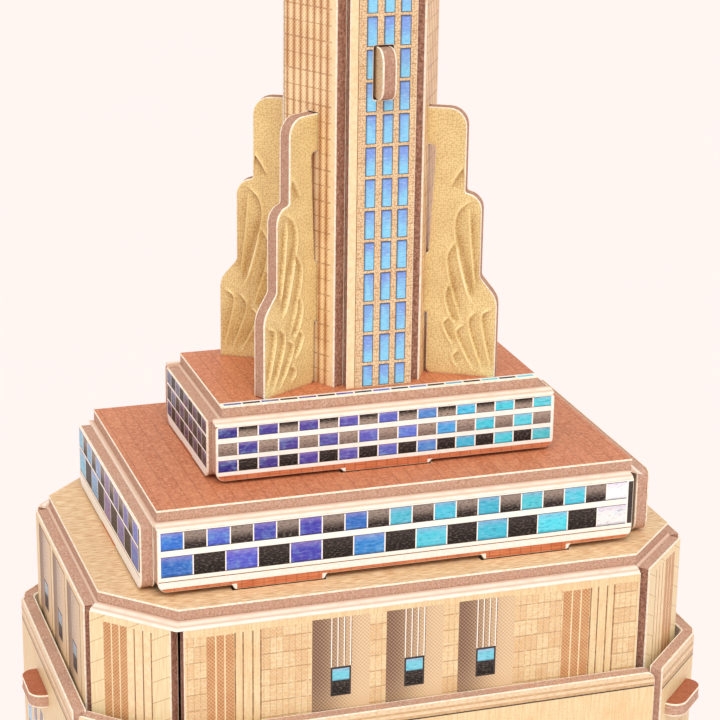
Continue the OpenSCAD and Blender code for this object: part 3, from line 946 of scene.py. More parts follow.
def deck_short_face():
    """Three recesses with thin brown frames."""
    design = Print("stone")
    for left in (-14.7, -4.2, 6.3):
        design.area(left - 0.35, DECK_FOOT, left + 8.75, SHORT_HEAD + 0.3, "line")
        design.area(left, DECK_FOOT, left + 8.4, SHORT_HEAD, "niche")
        small_window(design, left + 3.0, SHORT_HEAD, tone(134, 166, 176))
    return design


# ---------- roof tiers ----------

# The bent paper of a fold: how far it reaches below and above the board's back, and its arc's steps
FOLD_DROP = 0.15
FOLD_RISE = 0.4
FOLD_STEPS = 8
# How far a fold reaches past the flap's face and under the roof's edge
FOLD_COVER = 0.05
# A thin fold's reach below and above the board's back, and past the gap behind its flap
THIN_DROP = 0.05
THIN_RISE = 0.25
THIN_REACH = 0.3
# A free end of a fold shrinks to this share over this length
FOLD_TIP_SHARE = 0.82
FOLD_TIP = 0.4


def fold_ends(plan, index, reach, joined):
    """A fold's sections: mitred where the next fold is as wide, else square and drawn in."""
    start, end = plan[index], plan[(index + 1) % len(plan)]
    along = (end - start).normalized()
    out = Vector((along.y, -along.x))
    middle = (start + end) / 2
    steps = mitres(plan)
    sections = []
    for side, meets, step, corner in ((-1, joined[0], steps[index], start),
                                      (1, joined[1], steps[(index + 1) % len(plan)], end)):
        if meets:
            part = [(corner, step, 1.0)]
        else:
            tip = middle + along * reach[(side + 1) // 2]
            part = [(tip, out, FOLD_TIP_SHARE), (tip - along * side * FOLD_TIP, out, 1.0)]
        sections += part if side < 0 else part[::-1]
    return sections


def fold_strip(piece, plan, index, z, flap, gap, wide):
    """The bent paper between roof and flap: over the flap's whole top if wide, else a thin strip."""
    count = len(plan)
    if wide[index]:
        size, rise, drop = BOARD + FOLD_COVER, FOLD_RISE, FOLD_DROP
        joined = wide[index - 1], wide[(index + 1) % count]
    else:
        size, rise, drop = gap + THIN_REACH, THIN_RISE, THIN_DROP
        joined = True, True
    profile = [(-FOLD_COVER, -drop)]
    for k in range(FOLD_STEPS + 1):
        angle = math.pi / 2 * k / FOLD_STEPS
        profile.append((size * math.cos(angle), (rise + drop) * math.sin(angle) - drop))
    places = [point.x for point in flap]
    sections = fold_ends(plan, index, (min(places), max(places)), joined)
    piece.bead(sections, z, profile[::-1], "fold")


def tier(name, node, slot, plan, roof, flaps, slots=(), folds=(), ends="foam"):
    """A roof board with folded-down flaps, each given as (outline, print, wide fold or not)."""
    top = span(node)[1].z
    piece = Piece(ends)
    piece.board(level(top), plan, roof, holes=slots)
    wide = [flap[2] for flap in flaps]
    for index, (outline, design, _) in enumerate(flaps):
        gap = folds[index] if folds else 0.0
        place, _ = side_of(plan, index, top, BOARD + gap)
        piece.board(place, outline, design)
        fold_strip(piece, plan, index, top - BOARD, outline, gap, wide)
    piece.make(name, slot, node)


def slot_holes(half_y, centres, width):
    """Slots along the front and back of a roof, for the tabs of the tier above."""
    holes = []
    for side in (-1, 1):
        for centre in centres:
            low, high = sorted((side * half_y, side * (half_y + BOARD)))
            holes.append(box_outline(centre - width / 2, low, centre + width / 2, high))
    return holes


# Foot tabs of the two window tiers: their middles along the long sides, and their widths
BAND_FEET = (-17.9, 17.9)
CAP_FEET = (0.0,)
FOOT_W = 13.3
SIDE_FOOT_W = 9.4
CAP_SIDE_FOOT_W = 6.4
# How far the lower window tier's flaps hang off its front, right, back and left edge
BAND_FOLDS = (0.0, 0.9, 0.0, 0.3)
# Tops of the wooden strips along the feet of the lower and upper tier; they reach past the tabs' feet
BAND_WOOD = -10.5
CAP_WOOD = -9.3
WOOD_FOOT = -13.0
# Foot of the mast's walls, from which heights on the mast and its wings are measured
CREST_Z = span("mast_front_wall")[0].z
# Gap between the deck's neighbouring flaps, and how much further four of them reach at one end
FLAP_GAP = 0.15
FLAP_EXTRA = 0.3


def deck_tier():
    """The terrace, its corners cut, with a flap on each of its eight sides."""
    low, high = span("deck_tier")
    plan = ring(high.x - BOARD, high.y - BOARD, DECK_CUT)
    band = span("band_tier")[1]
    rise = high.z - low.z
    flaps = []
    for index in range(8):
        length = (plan[(index + 1) % 8] - plan[index]).length
        half = left = right = length / 2 - FLAP_GAP
        if index % 4 == 0:
            design = deck_long_face()
        elif index % 4 == 1:
            right += FLAP_EXTRA
            design = deck_cut_face(half, -1)
        elif index % 4 == 2:
            design = deck_short_face()
        else:
            left += FLAP_EXTRA
            design = deck_cut_face(half, 1)
        wide = index in (0, 4, 5, 7)
        top = -BOARD - FOLD_DROP if wide else -BOARD
        flaps.append((box_outline(-left, -rise, right, top, low=0.5), design, wide))
    tier("deck_tier_card", "deck_tier", "cream_stone_print", plan, Print("deck"), flaps,
         slot_holes(band.y - BOARD, BAND_FEET, FOOT_W), ends="groove")


def footed(left, right, foot, top, drop, feet, width, low, high=0.0):
    """A flap's outline: its lower corners rounded, with tabs that reach drop below its foot."""
    corners = [(left, foot, low)]
    for centre in feet:
        corners += [
            (centre - width / 2, foot, 0.3), (centre - width / 2 + 0.35, foot - drop, 0.3),
            (centre + width / 2 - 0.35, foot - drop, 0.3), (centre + width / 2, foot, 0.3),
        ]
    corners += [(right, foot, low), (right, top, high), (left, top, high)]
    return rounded(corners)


def outlined_rows(design, rows, first_dark, left, right, colours, gap, line=0.08):
    """Window rows, each between two thin dark lines."""
    for bottom, top, _, _ in rows:
        design.area(left, bottom - line, right - gap, top + line, "dark")
        design.area(left, bottom, right - gap, top, "white")
    chequer(design, rows, first_dark, left, right, colours, gap)


def band_face(left, right, counts, colours, grow=0.0):
    """Two rows of windows between white bands, grow moving their feet down and the lower's top up."""
    design = Print("white")
    rows = [(-4.95 - grow, -2.5, counts[0], "smoke_and_sheen"), (-8.8 - grow, -5.95 + grow, counts[1], "black")]
    outlined_rows(design, rows, (0, 0), left + 0.45, right - 0.85, colours, 0.17)
    design.area(right - 0.8, -8.85, right - 0.1, -2.5, "dark")
    design.across(-9.5, left, right, 0.14, "line")
    return design


def wooden_foot(design, left, right, top, foot, feet, width):
    """A wooden strip along a long flap's foot, with torn white paper at the ends of its tabs."""
    design.area(left, WOOD_FOOT, right, top, "foot")
    for centre in feet:
        for side in (-1, 1):
            design.upright(centre + side * (width / 2 - 0.3), foot - 0.8, foot + 0.15, 0.7, "white")


def wooden_tab(design, width, foot):
    """A wooden patch on a narrow flap's foot tab."""
    design.area(-width / 2, WOOD_FOOT, width / 2, foot + 0.25, "foot")


def band_tier():
    """The lower window tier."""
    high = span("band_tier")[1]
    half_x, half_y = high.x - BOARD - BAND_FOLDS[1], high.y - BOARD
    plan = ring(half_x, half_y)
    cap = span("cap_tier")[1]
    left, right, foot, side_foot = -34.8, 33.9, -11.05, -11.45
    reach = half_y - 0.2
    long_flap = footed(left, right, foot, -BOARD - FOLD_DROP, 0.7, BAND_FEET, FOOT_W, 1.4)
    short_flap = footed(-reach, reach, side_foot, -BOARD, 0.3, (0.0,), SIDE_FOOT_W, 1.6, 0.8)
    long_print = band_face(left, right, counts=(21, 15), colours=BAND_FOIL_AND_GLARE)
    wooden_foot(long_print, left, right, BAND_WOOD, foot, BAND_FEET, FOOT_W)
    short_print = band_face(-reach, reach, counts=(13, 9), colours=SIDE_FOIL, grow=0.25)
    wooden_tab(short_print, SIDE_FOOT_W, side_foot)
    flaps = [(long_flap, long_print, True), (short_flap, short_print, False)] * 2
    tier("band_tier_card", "band_tier", "foil_window_print", plan, Print("planks"), flaps,
         slot_holes(cap.y - BOARD, CAP_FEET, FOOT_W), BAND_FOLDS)


def cap_face(left, right, count, colours, gap, grow=0.0, looks=("shade", "taupe", "black")):
    """Three rows of windows between white bands, each taller by grow at its top and foot."""
    design = Print("white")
    rows = []
    for (bottom, top), look in zip(((-3.8, -2.4), (-6.35, -4.65), (-8.7, -7.1)), looks):
        rows.append((bottom - grow, top + grow, count, look))
    outlined_rows(design, rows, (0, 1, 0), left + 0.3, right - 0.3, colours, gap, 0.05)
    return design


def cap_tier():
    """The upper window tier."""
    high = span("cap_tier")[1]
    half_x, half_y = high.x - BOARD, high.y - BOARD
    plan = ring(half_x, half_y)
    left, right, foot, side_foot = -24.5, 24.9, -10.1, -10.35
    reach = half_y - 0.2
    long_flap = footed(left, right, foot, -BOARD - FOLD_DROP, 0.45, CAP_FEET, FOOT_W, 1.3, 0.6)
    short_flap = footed(-reach, reach, side_foot, -BOARD, 0.2, (0.0,), CAP_SIDE_FOOT_W, 1.4)
    long_print = cap_face(left, right, 17, CAP_FOIL, gap=0.2)
    wooden_foot(long_print, left, right, CAP_WOOD, foot, CAP_FEET, FOOT_W)
    dark_looks = ("black", "streaked", "black")
    short_print = cap_face(-reach, reach, 9, CAP_SIDE_FOIL, gap=0.12, grow=0.2, looks=dark_looks)
    wooden_tab(short_print, CAP_SIDE_FOOT_W, side_foot)
    flaps = [(long_flap, long_print, True), (short_flap, short_print, False)] * 2
    roof = Print("planks")
    roof.area(-half_x, -half_y, half_x, -half_y + 1.4, "white")
    chequer(roof, [(-half_y + 0.4, -half_y + 1.0, 17, "black")], (0,), -half_x + 0.5, half_x - 0.4, CAP_FOIL)
    tier("cap_tier_card", "cap_tier", "foil_window_print", plan, roof, flaps)


# ---------- mast ----------

MAST_R = 9.0
MAST_APOTHEM = MAST_R * math.cos(math.pi / 6)
# How far each panel's printed face reaches left and right of its middle
PANEL_REACH = ((5.2, 4.35), (4.75, 4.75), (4.35, 5.2))
# Foot and head of each wing's two tabs
WING_TABS = ((9.0, 17.5), (33.2, 38.4))
# A wing's reach from the mast's axis at its foot, middle and top, and its gap from the mast low and high
WING_REACHES = (20.0, 17.5, 15.1)
WING_GAPS = (0.35, 1.1)
# The brace's round tabs: height of their middle, their own height, and the slot around each
TAB_Z = 44.4
TAB_H = 7.0
SLOT_SIZE = (2.9, 7.4)
# The front's window panes: middles of the columns, half a pane's width, its height, the first one's top
PANE_COLUMNS = (-1.69, 0.71, 3.01)
PANE_HALF = 0.66
PANE_H = 3.86
FIRST_PANE_TOP = 3.2


def hexagon_side(index):
    """Direction of one of a hexagon's six sides; side 0 is the front and side 1 lies to its right."""
    angle = math.radians(-90 + 60 * index)
    return Vector((math.cos(angle), math.sin(angle)))


def panel_place(index, apothem, z):
    """The printed face of a panel that stands outside one side of a hexagon."""
    out = hexagon_side(index)
    return facing(out, *(out * (apothem + BOARD)), z)


def mast_front_print(height, half):
    """Three columns of windows in gold stone, with a cream strip down the left."""
    design = Print("mast")
    design.area(-half, 0, -half + 1.15, height, "cream")
    design.upright(-half + 1.2, 0, height, 0.12, "line")
    edge = 0.09
    for column in PANE_COLUMNS:
        left, right = column - PANE_HALF, column + PANE_HALF
        top = FIRST_PANE_TOP
        while top < height - 0.6:
            bottom = max(0.3, top - PANE_H)
            design.area(left - edge, bottom - edge, right + edge, top + edge, "dark")
            design.area(left, bottom, right, top, "pane")
            top += PANE_PITCH
    return design


def mast_slanted_print(height, half, side):
    """Striped stone with a cream strip along the edge next to the front panel."""
    design = Print("stripes")
    left, right = sorted((side * (half - 0.1), side * (half - 0.8)))
    design.area(left, 0, right, height, "cream")
    return design


def mast_wall(name, node, turn):
    """Three panels folded from one sheet, the middle one facing the front or the back."""
    low, high = span(node)
    height = high.z - low.z
    piece = Piece("groove")
    for step, (left, right) in zip((-1, 0, 1), PANEL_REACH):
        if step == 0:
            design = mast_front_print(height, left)
            half_w, half_h = SLOT_SIZE[0] / 2, SLOT_SIZE[1] / 2
            holes = [box_outline(-half_w, TAB_Z - half_h, half_w, TAB_Z + half_h, 0.3, 0.3)]
        else:
            design = mast_slanted_print(height, min(left, right), -step)
            reach = BOARD / 2 + 0.1
            holes = [box_outline(-reach, start - 0.1, reach, end + 0.1) for start, end in WING_TABS]
        outline = box_outline(-left, 0, right, height)
        narrow = (left - MAST_R / 2, right - MAST_R / 2)
        piece.board(panel_place(turn + step, MAST_APOTHEM, CREST_Z), outline, design, holes, narrow=narrow)
    piece.make(name, "cream_stone_print", node)


def mast_brace():
    """The board inside the mast; only its two round tabs show."""
    low, high = span("mast_brace")
    piece = Piece("edge", "edge")
    edge, reach, tall = MAST_APOTHEM, high.y, high.z - low.z
    foot, head = TAB_Z - TAB_H / 2, TAB_Z + TAB_H / 2
    outline = rounded([
        (-edge, 0, 0), (edge, 0, 0), (edge, foot, 0), (reach, foot, 2.0), (reach, head, 2.0),
        (edge, head, 0), (edge, tall, 0), (-edge, tall, 0), (-edge, head, 0), (-reach, head, 2.0),
        (-reach, foot, 2.0), (-edge, foot, 0),
    ])
    piece.board(facing((-1, 0), low.x, 0, CREST_Z), outline, Print("mast"), both=True)
    piece.make("mast_brace_card", "cream_stone_print", "mast_brace")


# Feather edges on a wing, each from its tip down to its root: distance from the mast's axis, height
FEATHERS = [
    [(15.1, 30.6), (14.0, 29.2), (12.9, 27.2)],
    [(15.5, 25.2), (14.2, 23.9), (13.7, 21.4), (14.3, 18.4), (15.3, 14.5), (16.3, 11.1)],
    [(15.7, 24.2), (16.2, 18.4), (16.9, 12.3)],
    [(13.9, 19.6), (12.9, 17.8), (12.8, 16.0), (13.6, 12.3), (15.1, 7.5)],
    [(14.1, 18.7), (15.1, 14.5), (16.2, 11.0)],
    [(13.0, 13.3), (12.6, 11.4), (13.2, 9.0), (14.3, 7.1)],
    [(18.9, 9.9), (18.0, 9.3), (17.9, 7.8), (18.6, 4.5), (19.4, 0.9)],
    [(16.9, 9.4), (16.1, 8.4), (16.2, 6.6), (17.2, 3.6), (18.2, 0.8)],
    [(15.1, 7.4), (14.3, 6.3), (15.0, 4.5), (16.9, 0.7)],
    [(13.1, 8.4), (12.4, 7.5), (12.8, 6.3), (13.9, 4.2)],
    [(14.5, 3.6), (13.9, 2.7), (14.3, 1.5)],
]


class Feathers:
    """The pressed relief of a wing: each feather's edge stands up on one side and sinks on the other."""

    # Height and depth beside one stroke, and the greatest depth where strokes meet
    ridge = 0.3
    hollow = 0.34
    deepest = 0.36
    # How far the ridge reaches left of a stroke, the drop right of it, and the hollow beyond
    rise = 0.5
    slope = 0.3
    fade = 1.9
    # Spacing of the mesh's points, and the distances from a stroke at which it has rows of them
    pitch = 0.36
    beside = (-0.5, -0.25, 0.0, 0.15, 0.3, 0.6)
    # Even points keep this far from every stroke, and all points this far from the wing's edge
    clear = 0.55
    margin = 0.16

    def __init__(self):
        self.strokes = [[Vector(p) for p in self.curve(stroke)] for stroke in FEATHERS]

    @staticmethod
    def curve(points, steps=5):
        """A smooth curve through the given points."""
        smooth = []
        ends = [points[0]] + list(points) + [points[-1]]
        for a, b, c, d in zip(ends, ends[1:], ends[2:], ends[3:]):
            for k in range(steps):
                t = k / steps
                smooth.append(tuple(
                    0.5 * (2 * q + (r - p) * t + (2 * p - 5 * q + 4 * r - s) * t * t
                           + (3 * q - p - 3 * r + s) * t ** 3)
                    for p, q, r, s in zip(a, b, c, d)
                ))
        return smooth + [points[-1]]

    def rails(self):
        """Points on each stroke and close beside it, so that the mesh follows the stroke."""
        found = []
        for stroke in self.strokes:
            for a, b in zip(stroke, stroke[1:]):
                run = (b - a).normalized()
                out = Vector((-run.y, run.x))
                steps = max(1, round((b - a).length / self.pitch))
                for k in range(steps):
                    found += [a.lerp(b, k / steps) + out * offset for offset in self.beside]
        return found

    def grid(self, outline):
        """Points along the strokes and spread evenly between them, away from the wing's edge."""
        inside = [spot for spot in self.rails() if clear_of(outline, spot, self.margin)]
        low_u, high_u = min(p.x for p in outline), max(p.x for p in outline)
        low_v, high_v = min(p.y for p in outline), max(p.y for p in outline)
        rows = int((high_v - low_v) / (self.pitch * 0.87))
        for row in range(1, rows):
            v = low_v + row * self.pitch * 0.87
            u = low_u + self.pitch * (0.5 if row % 2 else 1.0)
            while u < high_u:
                spot = Vector((u, v))
                open_card = all(self.nearest(stroke, spot)[0] > self.clear for stroke in self.strokes)
                if open_card and clear_of(outline, spot, self.margin):
                    inside.append(spot)
                u += self.pitch
        return inside

    def height(self, u, v):
        """How far the card's face stands out at a point; negative is sunk."""
        spot = Vector((u, v))
        total = 0.0
        for stroke in self.strokes:
            away, side, share = self.nearest(stroke, spot)
            taper = min(1.0, 5 * (1 - share), 0.35 + 4 * share)
            if side < 0 and away < self.rise:
                total += taper * self.ridge * (1 - away / self.rise) ** 1.5
            elif side >= 0 and away < self.fade:
                edge = min(1.0, away / self.slope)
                sunk = self.hollow * edge * (1 - away / self.fade) ** 1.5
                total += taper * (self.ridge * (1 - edge) - sunk)
        return max(-self.deepest, min(self.ridge, total))

    def shade(self, height):
        """Colour that marks how deep or high a point lies, for painted shade in the hollows and a painted
        highlight on the ridges.
        """
        deep = max(0.0, min(1.0, -height / self.hollow))
        raised = max(0.0, min(1.0, height / self.ridge))
        return (deep, raised, 0.0, 1.0)

    @staticmethod
    def nearest(stroke, spot):
        """Distance to a stroke, its side (positive is right, going down) and the share of its length."""
        best = (1e9, 1.0, 0.0)
        for index, (a, b) in enumerate(zip(stroke, stroke[1:])):
            away, share = from_edge(a, b, spot)
            if away < best[0]:
                best = (away, (b - a).cross(spot - a), (index + share) / (len(stroke) - 1))
        return best


def from_edge(a, b, spot):
    """A point's distance from the line a to b, and the share of the line where it is nearest."""
    run = b - a
    share = max(0.0, min(1.0, (spot - a).dot(run) / run.length_squared))
    return (spot - a - run * share).length, share


def clear_of(outline, spot, distance):
    """True if a point is inside an outline and at least that far from its edge."""
    inside = False
    for a, b in zip(outline, outline[1:] + outline[:1]):
        if (a.y > spot.y) != (b.y > spot.y):
            if spot.x < a.x + (spot.y - a.y) / (b.y - a.y) * (b.x - a.x):
                inside = not inside
        if from_edge(a, b, spot)[0] < distance:
            return False
    return inside


def wing(name, node, index, relief):
    """A pressed card wing that stands out from one of the mast's slanted sides, its tabs in their slots."""
    low, high = span(node)
    run = hexagon_side(index).to_3d()
    face, root = MAST_APOTHEM + BOARD, MAST_APOTHEM + 0.2
    near, far = face + WING_GAPS[0], face + WING_GAPS[1]
    lower, middle, upper = WING_REACHES
    tall = high.z - low.z
    (tab_a, tab_b), (tab_c, _) = WING_TABS
    outline = rounded([
        (near, 0, 0.8), (lower, 0, 0.3), (lower, 11.6, 3.2), (middle, 14.6, 1.0),
        (middle, 26.2, 2.3), (upper, 26.6, 0.4), (upper, tall, 2.5),
        (root, tall, 0.4), (root, tab_c, 0.3), (far, tab_c, 0.7),
        (near, tab_b, 0.7), (root, tab_b, 0.4), (root, tab_a, 0.4), (near, tab_a, 0.3),
    ])
    out = run.cross(Vector((0, 0, 1)))
    place = Place(out * (BOARD / 2) + Vector((0, 0, CREST_Z)), run, (0, 0, 1))
    piece = Piece("edge", "edge")
    piece.board(place, outline, Print("gold"), relief=relief, both=True)
    piece.make(name, "gold_emboss_print", node, smooth=42)


# ---------- crown and antenna ----------

CROWN_R = 7.0
CROWN_ROOF_R = 11.0
# How much wider a crown panel's printed face is than the hexagon's side, at each end
CROWN_OVERHANG = 0.55
# A hexagon's first corner, in degrees, so that a flat side faces the front
HEX_START = 240
DISC_SIDES = 40
# The antenna's blades, from the foot up: each step's width and the height of its top
BLADE_STEPS = [(11.0, 14.0), (7.3, 40.0), (2.4, 86.0)]


def crown():
    """Six little panels around the foot of the antenna."""
    low, high = span("crown_wall")
    height = high.z - low.z
    piece = Piece()
    apothem = CROWN_R * math.cos(math.pi / 6)
    half = CROWN_R / 2 + CROWN_OVERHANG
    for index in range(6):
        design = Print("mast")
        for u in (-2.2, 0.0, 2.2):
            design.area(u - 0.85, 1.6, u + 0.85, height - 2.0, "dark")
            design.area(u - 0.72, 1.75, u + 0.72, height - 2.15, "foil", foil(CAP_FOIL, 0.5 + u / 6))
        design.across(0.9, -half, half, 0.2, "line")
        design.across(height - 1.2, -half, half, 0.2, "line")
        panel = box_outline(-half, 0, half, height)
        narrow = (CROWN_OVERHANG, CROWN_OVERHANG)
        piece.board(panel_place(index, apothem, low.z), panel, design, narrow=narrow)
    piece.make("crown_wall_card", "cream_stone_print", "crown_wall")


def plate(name, node, slot, outline, look, holes=()):
    """A flat board laid level."""
    piece = Piece()
    piece.board(level(span(node)[1].z), outline, Print(look), holes, back=look)
    piece.make(name, slot, node)


def cross_slot(reach):
    """Outline of the cross-shaped hole for the antenna's two blades."""
    half = BOARD / 2
    arms = [
        (reach, -half), (reach, half), (half, half), (half, reach), (-half, reach), (-half, half),
        (-reach, half), (-reach, -half), (-half, -half), (-half, -reach), (half, -reach), (half, -half),
    ]
    return [Vector(p) for p in arms]


def antenna_blade(name, node, along, steps):
    """A blade that narrows in steps, each given as (width, height of its top)."""
    foot = span(node)[0].z
    corners = [(-steps[0][0] / 2, 0, 0), (steps[0][0] / 2, 0, 0)]
    right = []
    for (width, top), (following, _) in zip(steps, steps[1:] + [(0, 0)]):
        right.append((width / 2, top, 0.6 if width > 3 else 1.0))
        if following:
            right.append((following / 2, top, 0.0))
    outline = rounded(corners + right + [(-u, v, r) for u, v, r in right[::-1]])
    out = Vector(along).cross(Vector((0, 0, 1)))
    place = Place(out * (BOARD / 2) + Vector((0, 0, foot)), along, (0, 0, 1))
    piece = Piece()
    piece.board(place, outline, Print("antenna"), both=True)
    piece.make(name, "antenna_print", node)


# ---------- shaft ----------

SHAFT_CUT = 9.4
# The shaft's plain stone reaches this far below its rim, and its plinth this far up from its foot
PLAIN_H = 12
PLINTH_H = 4
# The floor's round tabs: width and reach, and how far those on the narrow sides sit off the middle
SHAFT_TAB = (9.0, 2.5)
SIDE_TAB_SHIFT = 3.3


def shaft_lip(design, half, deep):
    """A printed moulding along the rim, deep millimetres high."""
    design.area(-half, -deep, half, 0, "lip")
    design.across(-0.45 * deep, -half, half, 0.16 * deep, "lip_shade")
    design.area(-half, -deep, half, -0.75 * deep, "lip_shade")
    design.across(-deep, -half, half, 0.2, "dark")


def shaft_print(half, top, bottom, columns, deep, pitch=4.4):
    """A shaft wall: a rounded lip along its rim, plain stone, then window columns between piers."""
    design = Print("stone")
    shaft_lip(design, half, deep)
    colonnade(design, -half + 2.0, half - 2.0, bottom, top, columns, 2.6, pitch)
    return design


def shaft_cut_print(half, top, bottom, deep):
    """A cut corner's wall: the lip, then an orange stripe in ruled stone."""
    design = Print("stone")
    shaft_lip(design, half, deep)
    design.area(-half + 1.0, bottom, half - 1.0, top, "grid")
    design.area(-1.9, bottom, 1.9, top, "orange")
    for u in (-0.65, 0.65):
        design.upright(u, bottom, top, 0.2, "cream")
    for u in (-2.4, 2.4):
        design.upright(u, bottom, top, 0.14, "line")
    return design


def shaft_walls():
    """The shaft's four wall pieces; returns the plan inside them."""
    low, high = span("shaft_front_wall")
    rim, tall = high.z, high.z - low.z
    for name, out, y in (("front", (0, -1), low.y), ("back", (0, 1), -low.y)):
        piece = Piece()
        outline = box_outline(low.x, -tall, high.x, 0, high=1.4)
        design = shaft_print(high.x, -PLAIN_H, PLINTH_H - tall, columns=11, deep=2.1)
        piece.board(facing(out, 0, y, rim), outline, design)
        piece.make(f"shaft_{name}_wall_card", "cream_stone_print", f"shaft_{name}_wall")
    inner = ring(span("shaft_right_wall")[1].x - BOARD, -high.y, SHAFT_CUT)
    floor = span("shaft_floor")[1].z
    for name, sides in (("right", (1, 2, 3)), ("left", (5, 6, 7))):
        piece = Piece()
        for index in sides:
            place, length = side_of(inner, index, rim)
            half = length / 2
            shift = -SIDE_TAB_SHIFT if index in (2, 6) else 0.0
            drop = floor - rim
            hole = box_outline(shift - SHAFT_TAB[0] / 2, drop - BOARD, shift + SHAFT_TAB[0] / 2, drop)
            if index in (2, 6):
                design = shaft_print(half, -PLAIN_H, PLINTH_H - tall, columns=7, deep=3.3)
            else:
                design = shaft_cut_print(half, -PLAIN_H, PLINTH_H - tall, deep=3.3)
            piece.board(place, box_outline(-half, -tall, half, 0, high=0.4), design, [hole])
        piece.make(f"shaft_{name}_wall_card", "cream_stone_print", f"shaft_{name}_wall")
    return inner


def shaft_floor(inner):
    """The upper floor and its round tabs, which reach out through the side walls."""
    top = span("shaft_floor")[1].z
    piece = Piece()
    piece.board(level(top), inner, Print("planks"))
    for index in (1, 2, 3, 5, 6, 7):
        place, _ = side_of(inner, index, top)
        shift = SIDE_TAB_SHIFT if index in (2, 6) else 0.0
        half, reach = SHAFT_TAB[0] / 2, SHAFT_TAB[1]
        tab = box_outline(shift - half, -1.9, shift + half, reach, high=2.0)
        piece.board(Place(place.origin, -place.along, place.out), tab, Print("floor"))
    piece.make("shaft_floor_card", "brown_roof_print", "shaft_floor")


def shaft_bay(name, node, side):
    """The shallow box on each narrow side of the shaft: an outer wall, two ends and a lid."""
    low, high = span(node)
    half, tall = high.y, high.z - low.z
    near, far = sorted((abs(low.x), abs(high.x)))
    piece = Piece()
    design = Print("stone")
    colonnade(design, -half + 1.5, half - 1.5, 3, tall - 6, 4, 2.6, 4.4)
    design.across(tall - 3, -half, half, 0.25, "line")
    piece.board(facing((side, 0), side * far, 0, low.z), box_outline(-half, 0, half, tall), design)
    for end in (-1, 1):
        place = facing((0, end), 0, end * half, low.z)
        sign = 1 if place.along.x * side > 0 else -1
        left, right = sorted((sign * near, sign * (far - BOARD)))
        piece.board(place, box_outline(left, 0, right, tall), Print("grid"))
    left, right = sorted((side * near, side * (far - BOARD)))
    inner = half - BOARD
    piece.board(level(high.z), box_outline(left, -inner, right, inner), Print("planks"))
    piece.make(name, "cream_stone_print", node)


# ---------- setback blocks, podium and base ----------

def block_print(half, tall, columns, width, pitch):
    """A block's wall: a plinth, window columns between piers, and a ruled cornice."""
    design = Print("stone")
    design.area(-half, 0, half, 2.4, "grid")
    colonnade(design, -half + 2.5, half - 2.5, 3.2, tall - 4.5, columns, width, pitch)
    for v, look in ((tall - 3.6, "line"), (tall - 2.6, "white"), (tall - 1.2, "line")):
        design.across(v, -half, half, 0.3, look)
    return design


def block(name, columns, width, pitch):
    """Four walls and a roof board of one setback block, with columns on its (wide, narrow) walls."""
    for side, out in (("front", (0, -1)), ("back", (0, 1)), ("left", (-1, 0)), ("right", (1, 0))):
        node = f"{name}_{side}_wall"
        low, high = span(node)
        wide = abs(out[1]) == 1
        half = high.x if wide else high.y
        reach = max(abs(low.y), abs(high.y)) if wide else max(abs(low.x), abs(high.x))
        tall = high.z - low.z
        count = columns[0] if wide else columns[1]
        piece = Piece()
        place = facing(out, out[0] * reach, out[1] * reach, low.z)
        piece.board(place, box_outline(-half, 0, half, tall), block_print(half, tall, count, width, pitch))
        piece.make(f"{node}_card", "cream_stone_print", node)
    high = span(f"{name}_roof")[1]
    piece = Piece()
    piece.board(level(high.z), ring(high.x, high.y), Print("planks"))
    piece.make(f"{name}_roof_card", "brown_roof_print", f"{name}_roof")


def portal(name, node, side):
    """A low wall with three doorways cut out of its foot."""
    low, high = span(node)
    half, tall = high.x, high.z - low.z
    door_w, door_h = 2 * half / 5, tall * 0.7
    corners = [(-half, 0, 0)]
    for k in (-1, 0, 1):
        middle = 1.5 * door_w * k
        corners += [
            (middle - door_w / 2, 0, 0), (middle - door_w / 2, door_h, 0),
            (middle + door_w / 2, door_h, 0), (middle + door_w / 2, 0, 0),
        ]
    corners += [(half, 0, 0), (half, tall, 0.6), (-half, tall, 0.6)]
    design = Print("stone")
    design.across(door_h + 1.2, -half, half, 0.25, "line")
    design.across(tall - 1.4, -half, half, 0.25, "line")
    for k in range(9):
        left = -half + 2 + k * 3.4
        design.area(left, door_h + 2.0, left + 2.6, tall - 2.2, "foil", foil(TOWER_FOIL, k / 9))
    piece = Piece()
    piece.board(facing((0, side), 0, side * max(abs(low.y), abs(high.y)), low.z), rounded(corners), design)
    piece.make(name, "cream_stone_print", node)


def base():
    """The paved board under everything."""
    low, high = span("base_board")
    design = Print("paving")
    for inset, width, look in ((3.0, 0.8, "white"), (6.0, 0.3, "line")):
        x, y = high.x - inset, high.y - inset
        for side in (-1, 1):
            design.across(side * y, -x, x, width, look)
            design.upright(side * x, -y, y, width, look)
    piece = Piece()
    outline = box_outline(-high.x, -high.y, high.x, high.y, 2, 2)
    piece.board(level(high.z), outline, design, thickness=high.z - low.z)
    piece.make("base_board_card", "base_print", "base_board")


# ---------- making the pieces ----------

